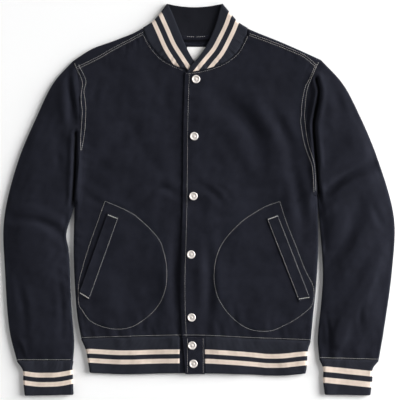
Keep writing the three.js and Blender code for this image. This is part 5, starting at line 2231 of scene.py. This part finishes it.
def draw_stripes(nodes: Nodes, given: Any) -> dict[str, Socket]:
    """Two stripes at their distances from the free edge, with a faint line along each middle.

    Args:
        nodes: Where the nodes go.
        given: Outputs of the group's entry.

    Returns:
        Each output of the group by name.
    """
    masks, lines = [], []
    for name in ("First", "Second"):
        away = nodes.math("ABSOLUTE", nodes.math("SUBTRACT", given["Distance"], given[name]))
        inside = nodes.math("SUBTRACT", given["Half width"], away)
        masks.append(nodes.ramp(inside, -0.35, 0.35))
        lines.append(nodes.ramp(away, 0.75, 0.2))
    mask = nodes.clamped(nodes.math("MAXIMUM", *masks), given["Outside"])
    return {"Mask": mask, "Middle": nodes.math("MAXIMUM", *lines)}


TWILL = Effect("Twill weave", {"Grain": "Vector", "Pitch": "Float"}, {"Height": "Float", "Shade": "Float"}, draw_twill)
WASH = Effect("Washed dye", {"Grain": "Vector", "Edge": "Float", "Border": "Float"},
              {"Fade": "Float", "Rubbed": "Float"}, draw_wash)
KNIT = Effect("Rib knit", {"Knit": "Vector"}, {"Height": "Float", "Valley": "Float", "Fuzz": "Float"}, draw_knit)
STRIPES = Effect(
    "Knitted stripes",
    {"Distance": "Float", "First": "Float", "Second": "Float", "Half width": "Float", "Outside": "Float"},
    {"Mask": "Float", "Middle": "Float"}, draw_stripes,
)

Colour = tuple[float, float, float, float]


@dataclass(frozen=True)
class Finish:
    """What every finish has: a name, a roughness range and the bump of its relief."""

    name: str
    roughness: tuple[float, float] = (0.8, 0.95)
    relief: float = 0.00012
    specular: float = 0.5
    sheen: float = 0.0
    sheen_tint: Colour = (0.75, 0.8, 0.95, 1.0)

    def start(self) -> tuple[Material, Nodes, bpy.types.Node]:
        """A new material with its shader, whose even values are set on it.

        Returns:
            Material, nodes and shader.
        """
        material = bpy.data.materials.new(self.name)
        material.use_nodes = True
        nodes = Nodes(material.node_tree)
        shader = material.node_tree.nodes["Principled BSDF"]
        shader.inputs["Specular IOR Level"].default_value = self.specular
        shader.inputs["Sheen Weight"].default_value = self.sheen
        shader.inputs["Sheen Roughness"].default_value = 0.45
        shader.inputs["Sheen Tint"].default_value = self.sheen_tint
        return material, nodes, shader

    def bump(self, nodes: Nodes, shader: bpy.types.Node, height: Socket, strength: float = 0.7) -> None:
        """Gives the shader the relief of a height."""
        node = nodes.add("ShaderNodeBump", {"Height": height, "Distance": self.relief, "Strength": strength})
        nodes.feed(shader.inputs["Normal"], node.outputs[0])

    def rough(self, nodes: Nodes, shader: bpy.types.Node, value: Socket) -> None:
        """Lets the roughness change over the surface."""
        nodes.feed(shader.inputs["Roughness"], nodes.ramp(value, 0.0, 1.0, *self.roughness))


@dataclass(frozen=True)
class TwillFinish(Finish):
    """Dark dyed twill, slightly faded and rubbed at its folds, with painted shade where the gap fact says."""

    pitch: float = 1.05
    deep: Colour = (0.0071, 0.00765, 0.0121, 1.0)
    faded: Colour = (0.0125, 0.0135, 0.0208, 1.0)
    rubbed: Colour = (0.036, 0.039, 0.052, 1.0)
    # colour of the painted shade in the armhole gaps and in the slot under the neck tape
    shaded: Colour = (0.0006, 0.0006, 0.001, 1.0)

    def material(self) -> Material:
        """Makes the material.

        Returns:
            The material.
        """
        material, nodes, shader = self.start()
        grain = nodes.fact("grain", "Vector")
        twill = TWILL.use(nodes, Grain=grain, Pitch=self.pitch)
        wash = WASH.use(nodes, Grain=grain, Edge=nodes.fact("edge"), Border=nodes.fact("border"))
        amount = nodes.plus(nodes.times(twill["Shade"], 0.45), nodes.times(wash["Fade"], 0.5))
        cloth = nodes.mix(amount, self.deep, self.faded)
        colour = nodes.mix(nodes.times(wash["Rubbed"], 0.5), cloth, self.rubbed)
        # painted shade: the cloth turns almost black in the armhole gaps and in the slot under the neck tape
        colour = nodes.mix(nodes.times(nodes.fact("gap"), 0.85), colour, self.shaded)
        nodes.feed(shader.inputs["Base Color"], colour)
        self.rough(nodes, shader, twill["Shade"])
        self.bump(nodes, shader, twill["Height"])
        return material


@dataclass(frozen=True)
class RibFinish(Finish):
    """Dark rib knit with two pale stripes on its outside, painted shade between its ribs and a darker inside that is
    partly painted shade.
    """

    first: float = 24.0
    second: float = 42.0
    half_width: float = 4.5
    dark: Colour = (0.0105, 0.0115, 0.0165, 1.0)
    bright: Colour = (0.0205, 0.0225, 0.0315, 1.0)
    # inside of the rib: partly the knit's own darker tone, partly painted shade
    inner: Colour = (0.0092, 0.0098, 0.0142, 1.0)
    stripe: Colour = (0.78, 0.665, 0.575, 1.0)
    stripe_shade: Colour = (0.47, 0.38, 0.32, 1.0)

    def material(self) -> Material:
        """Makes the material.

        Returns:
            The material.
        """
        material, nodes, shader = self.start()
        vector = nodes.fact("knit", "Vector")
        distance = nodes.add("ShaderNodeSeparateXYZ", {0: vector}).outputs[1]
        knit = KNIT.use(nodes, Knit=vector)
        stripes = STRIPES.use(nodes, **{"Distance": distance, "First": self.first, "Second": self.second,
                                        "Half width": self.half_width, "Outside": nodes.fact("outside")})
        # painted shade: darker in the valleys between the ribs, on the navy and on the cream of the stripes
        shade = nodes.times(nodes.plus(knit["Valley"], nodes.times(knit["Fuzz"], 0.3)), 0.75)
        # the inside of the knit gets the darker inner colour, partly painted shade
        navy = nodes.mix(nodes.fact("outside"), self.inner, nodes.mix(shade, self.bright, self.dark))
        line = nodes.times(stripes["Middle"], 0.16)
        cream = nodes.mix(nodes.plus(nodes.times(shade, 0.55), line), self.stripe, self.stripe_shade)
        nodes.feed(shader.inputs["Base Color"], nodes.mix(stripes["Mask"], navy, cream))
        self.rough(nodes, shader, knit["Fuzz"])
        self.bump(nodes, shader, knit["Height"])
        return material


@dataclass(frozen=True)
class ThreadFinish(Finish):
    """Twisted sewing thread."""

    pale: Colour = (0.66, 0.64, 0.61, 1.0)
    deep: Colour = (0.34, 0.33, 0.315, 1.0)

    def material(self) -> Material:
        """Makes the material.

        Returns:
            The material.
        """
        material, nodes, shader = self.start()
        along = nodes.fact("along")
        twist = nodes.math("SINE", nodes.times(along, 9.0))
        uneven = nodes.add("ShaderNodeTexNoise", {"W": along, "Scale": 0.35, "Detail": 2.0},
                           noise_dimensions="1D").outputs[0]
        amount = nodes.plus(nodes.ramp(twist, -1.0, 1.0, 0.0, 0.5), nodes.ramp(uneven, 0.35, 0.7, 0.0, 0.5))
        nodes.feed(shader.inputs["Base Color"], nodes.mix(amount, self.pale, self.deep))
        self.rough(nodes, shader, uneven)
        self.bump(nodes, shader, twist)
        return material


@dataclass(frozen=True)
class SnapFinish(Finish):
    """Satin metal, finely scratched, and darker in its dish."""

    pale: Colour = (0.95, 0.89, 0.85, 1.0)
    dish_colour: Colour = (0.66, 0.6, 0.56, 1.0)

    def material(self) -> Material:
        """Makes the material.

        Returns:
            The material.
        """
        material, nodes, shader = self.start()
        place = nodes.add("ShaderNodeTexCoord").outputs["Object"]
        scratches = nodes.noise(place, 2600.0, 5.0)
        spots = nodes.noise(place, 420.0, 3.0)
        dish = nodes.ramp(nodes.fact("radius"), 6.4, 5.2)
        amount = nodes.plus(nodes.times(dish, 0.45), nodes.times(spots, 0.4))
        nodes.feed(shader.inputs["Base Color"], nodes.mix(amount, self.pale, self.dish_colour))
        nodes.feed(shader.inputs["Metallic"], nodes.ramp(spots, 0.0, 1.0, 0.3, 0.55))
        self.rough(nodes, shader, scratches)
        self.bump(nodes, shader, scratches, 0.25)
        return material


@dataclass(frozen=True)
class LabelFinish(Finish):
    """Pale woven cloth, bare."""

    pitch: float = 0.7
    pale: Colour = (0.93, 0.91, 0.9, 1.0)
    deep: Colour = (0.84, 0.82, 0.81, 1.0)

    def material(self) -> Material:
        """Makes the material.

        Returns:
            The material.
        """
        material, nodes, shader = self.start()
        twill = TWILL.use(nodes, Grain=nodes.fact("grain", "Vector"), Pitch=self.pitch)
        nodes.feed(shader.inputs["Base Color"], nodes.mix(twill["Shade"], self.deep, self.pale))
        self.rough(nodes, shader, twill["Shade"])
        self.bump(nodes, shader, twill["Height"])
        return material


@dataclass(frozen=True)
class FloorFinish(Finish):
    """Plain pale floor."""

    pale: Colour = (0.93, 0.93, 0.93, 1.0)
    deep: Colour = (0.9, 0.9, 0.9, 1.0)

    def material(self) -> Material:
        """Makes the material.

        Returns:
            The material.
        """
        material, nodes, shader = self.start()
        place = nodes.add("ShaderNodeTexCoord").outputs["Object"]
        cloud = nodes.noise(place, 1.5, 2.0)
        nodes.feed(shader.inputs["Base Color"], nodes.mix(cloud, self.deep, self.pale))
        self.rough(nodes, shader, cloud)
        return material


@dataclass
class Studio:
    """Floor, soft light and the camera straight above."""

    frame_width: float = 0.78
    centre: tuple[float, float] = (0.006825, 0.0)
    distance: float = 3.2
    sensor: float = 36.0
    floor_half: float = 6.0
    world_strength: float = 0.22
    key: float = 6.1
    side: float = 0.8
    spread: float = 44.0
    box: float = 3.4
    box_size: float = 0.45
    box_place: tuple[float, float, float] = (0.84, -0.02, 0.3)
    floor_height: float = -0.0006

    def build(self, floor_finish: Material) -> None:
        """Makes the floor, the lights and the camera.

        Args:
            floor_finish: Material of the floor.
        """
        mesh = bpy.data.meshes.new("floor")
        corner = [(x * self.floor_half, y * self.floor_half, self.floor_height)
                  for x, y in ((-1, -1), (1, -1), (1, 1), (-1, 1))]
        mesh.from_pydata(corner, [], [(0, 1, 2, 3)])
        mesh.materials.append(floor_finish)
        linked("floor", mesh)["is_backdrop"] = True
        self.sun("key", self.key, self.spread, (0.0, math.radians(69), math.radians(17)))
        self.sun("side", self.side, self.spread, (0.0, math.radians(65), math.radians(152)))
        box = bpy.data.lights.new("box", "AREA")
        box.energy, box.size = self.box, self.box_size
        beside = linked("box", box)
        beside.location, beside.rotation_euler = self.box_place, (0.0, math.radians(61), 0.0)
        world = bpy.data.worlds.new("studio")
        world.use_nodes = True
        back = world.node_tree.nodes["Background"]
        back.inputs[0].default_value = (1.0, 1.0, 1.0, 1.0)
        back.inputs[1].default_value = self.world_strength
        bpy.context.scene.world = world
        bpy.context.scene.view_settings.view_transform = "Standard"
        data = bpy.data.cameras.new("camera")
        data.sensor_width = self.sensor
        data.lens = self.sensor * self.distance / self.frame_width
        data.clip_end = 50.0
        camera = linked("camera", data)
        camera.location = (*self.centre, self.distance)
        bpy.context.scene.camera = camera

    def sun(self, name: str, strength: float, spread: float, turn: tuple[float, float, float]) -> None:
        """Adds a soft sun.

        Args:
            name: Name of the light.
            strength: Its strength.
            spread: Angle that it covers, in degrees, which softens its shadows.
            turn: Its rotation.
        """
        data = bpy.data.lights.new(name, "SUN")
        data.energy = strength
        data.angle = math.radians(spread)
        linked(name, data).rotation_euler = turn


def corners() -> list[list[float]]:
    """Lowest and highest corner of what shows, as plain numbers."""
    return [list(corner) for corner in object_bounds()]


def main() -> None:
    """Builds the jacket piece by piece, and then the studio."""
    logging.basicConfig(level=logging.INFO, format="%(name)s %(message)s")
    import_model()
    lay = Lay()
    twill = TwillFinish("twill", relief=0.00016, specular=0.09, sheen=0.04).material()
    rib = RibFinish("rib", relief=0.00022, specular=0.12, sheen=0.05).material()
    collar_rib = RibFinish("collar_rib", relief=0.00022, specular=0.12, sheen=0.05,
                           first=0.0, second=17.9, half_width=3.9).material()
    thread = ThreadFinish("thread", roughness=(0.6, 0.8), relief=0.00008, specular=0.25).material()
    metal = SnapFinish("snap_satin", roughness=(0.28, 0.46), relief=0.00003).material()
    label = LabelFinish("label_cloth", roughness=(0.7, 0.9), relief=0.00006).material()

    front_cut = {Side.RIGHT: Cut(0.262, 0.595, 0.135, ("back",)), Side.LEFT: Cut(0.268, 0.595, 0.141, ("back",))}
    sleeve_cut = {Side.RIGHT: Cut(0.290, 0.600, 0.128, ("back",)), Side.LEFT: Cut(0.300, 0.610, 0.140, ("back",))}
    fronts = {side: FrontPanel(lay, side, front_cut[side]).build(twill) for side in Side}
    back = BackPanel(lay, Cut(0.480, 0.640, 0.273, ())).build(twill)
    sleeves = [Sleeve(lay, side, sleeve_cut[side]).build(twill) for side in Side]
    for side in Side:
        Cuff(lay, side, Cut(0.068, 0.196, 0.0131, ())).build(rib)
    collar = Collar(lay, Cut(0.072, 0.410, 0.0235, ("back",))).build(collar_rib)
    HemBand(lay, Cut(0.072, 0.820, 0.0570, ())).build(rib)
    HemTab(lay, "hem_tab_under", Cut(0.045, 0.070, 0.00315, ("hem_rib",)), -33, 12, -267, -337, UNDERLAP).build(twill)
    over = HemTab(lay, "hem_tab_over", Cut(0.0435, 0.0715, 0.0029, ("hem_tab_under",)), -27.5, 16, -267, -338.5,
                  OVERLAP, slant=6).build(twill)
    welts = [
        PocketWelt(Side.RIGHT, Cut(0.023, 0.169, 0.0038, ("front_right",)), (-162, -30), (-219, -189)),
        PocketWelt(Side.LEFT, Cut(0.023, 0.174, 0.0039, ("front_left",)), (147.5, -32), (210.5, -194)),
    ]
    sewn = [welt.build(Surface.of(fronts[welt.side]), twill) for welt in welts]
    trim = NeckTrim(Cut(0.0132, 0.172, 0.0022, ("back",)), Cut(0.037, 0.034, 0.00125, ("back",)))
    inner = trim.build(Surface.of(back, collar), twill, label)
    SnapCaps().build(Surface.of(fronts[Side.LEFT], over), metal)
    carrier = Surface.of(*fronts.values(), back, *sleeves, over, *sewn)
    Topstitching(carrier).build("topstitching", topstitch_rows(welts), thread)
    tape_row = StitchRow(Line.through(((-26, 318.6), (-3, 317.8), (24, 319))), start=INSIDE)
    Topstitching(Surface.of(inner[0])).build("topstitching_neck", [tape_row], thread)
    Studio().build(FloorFinish("floor", roughness=(0.85, 0.95)).material())


if __name__ == "__main__":
    main()
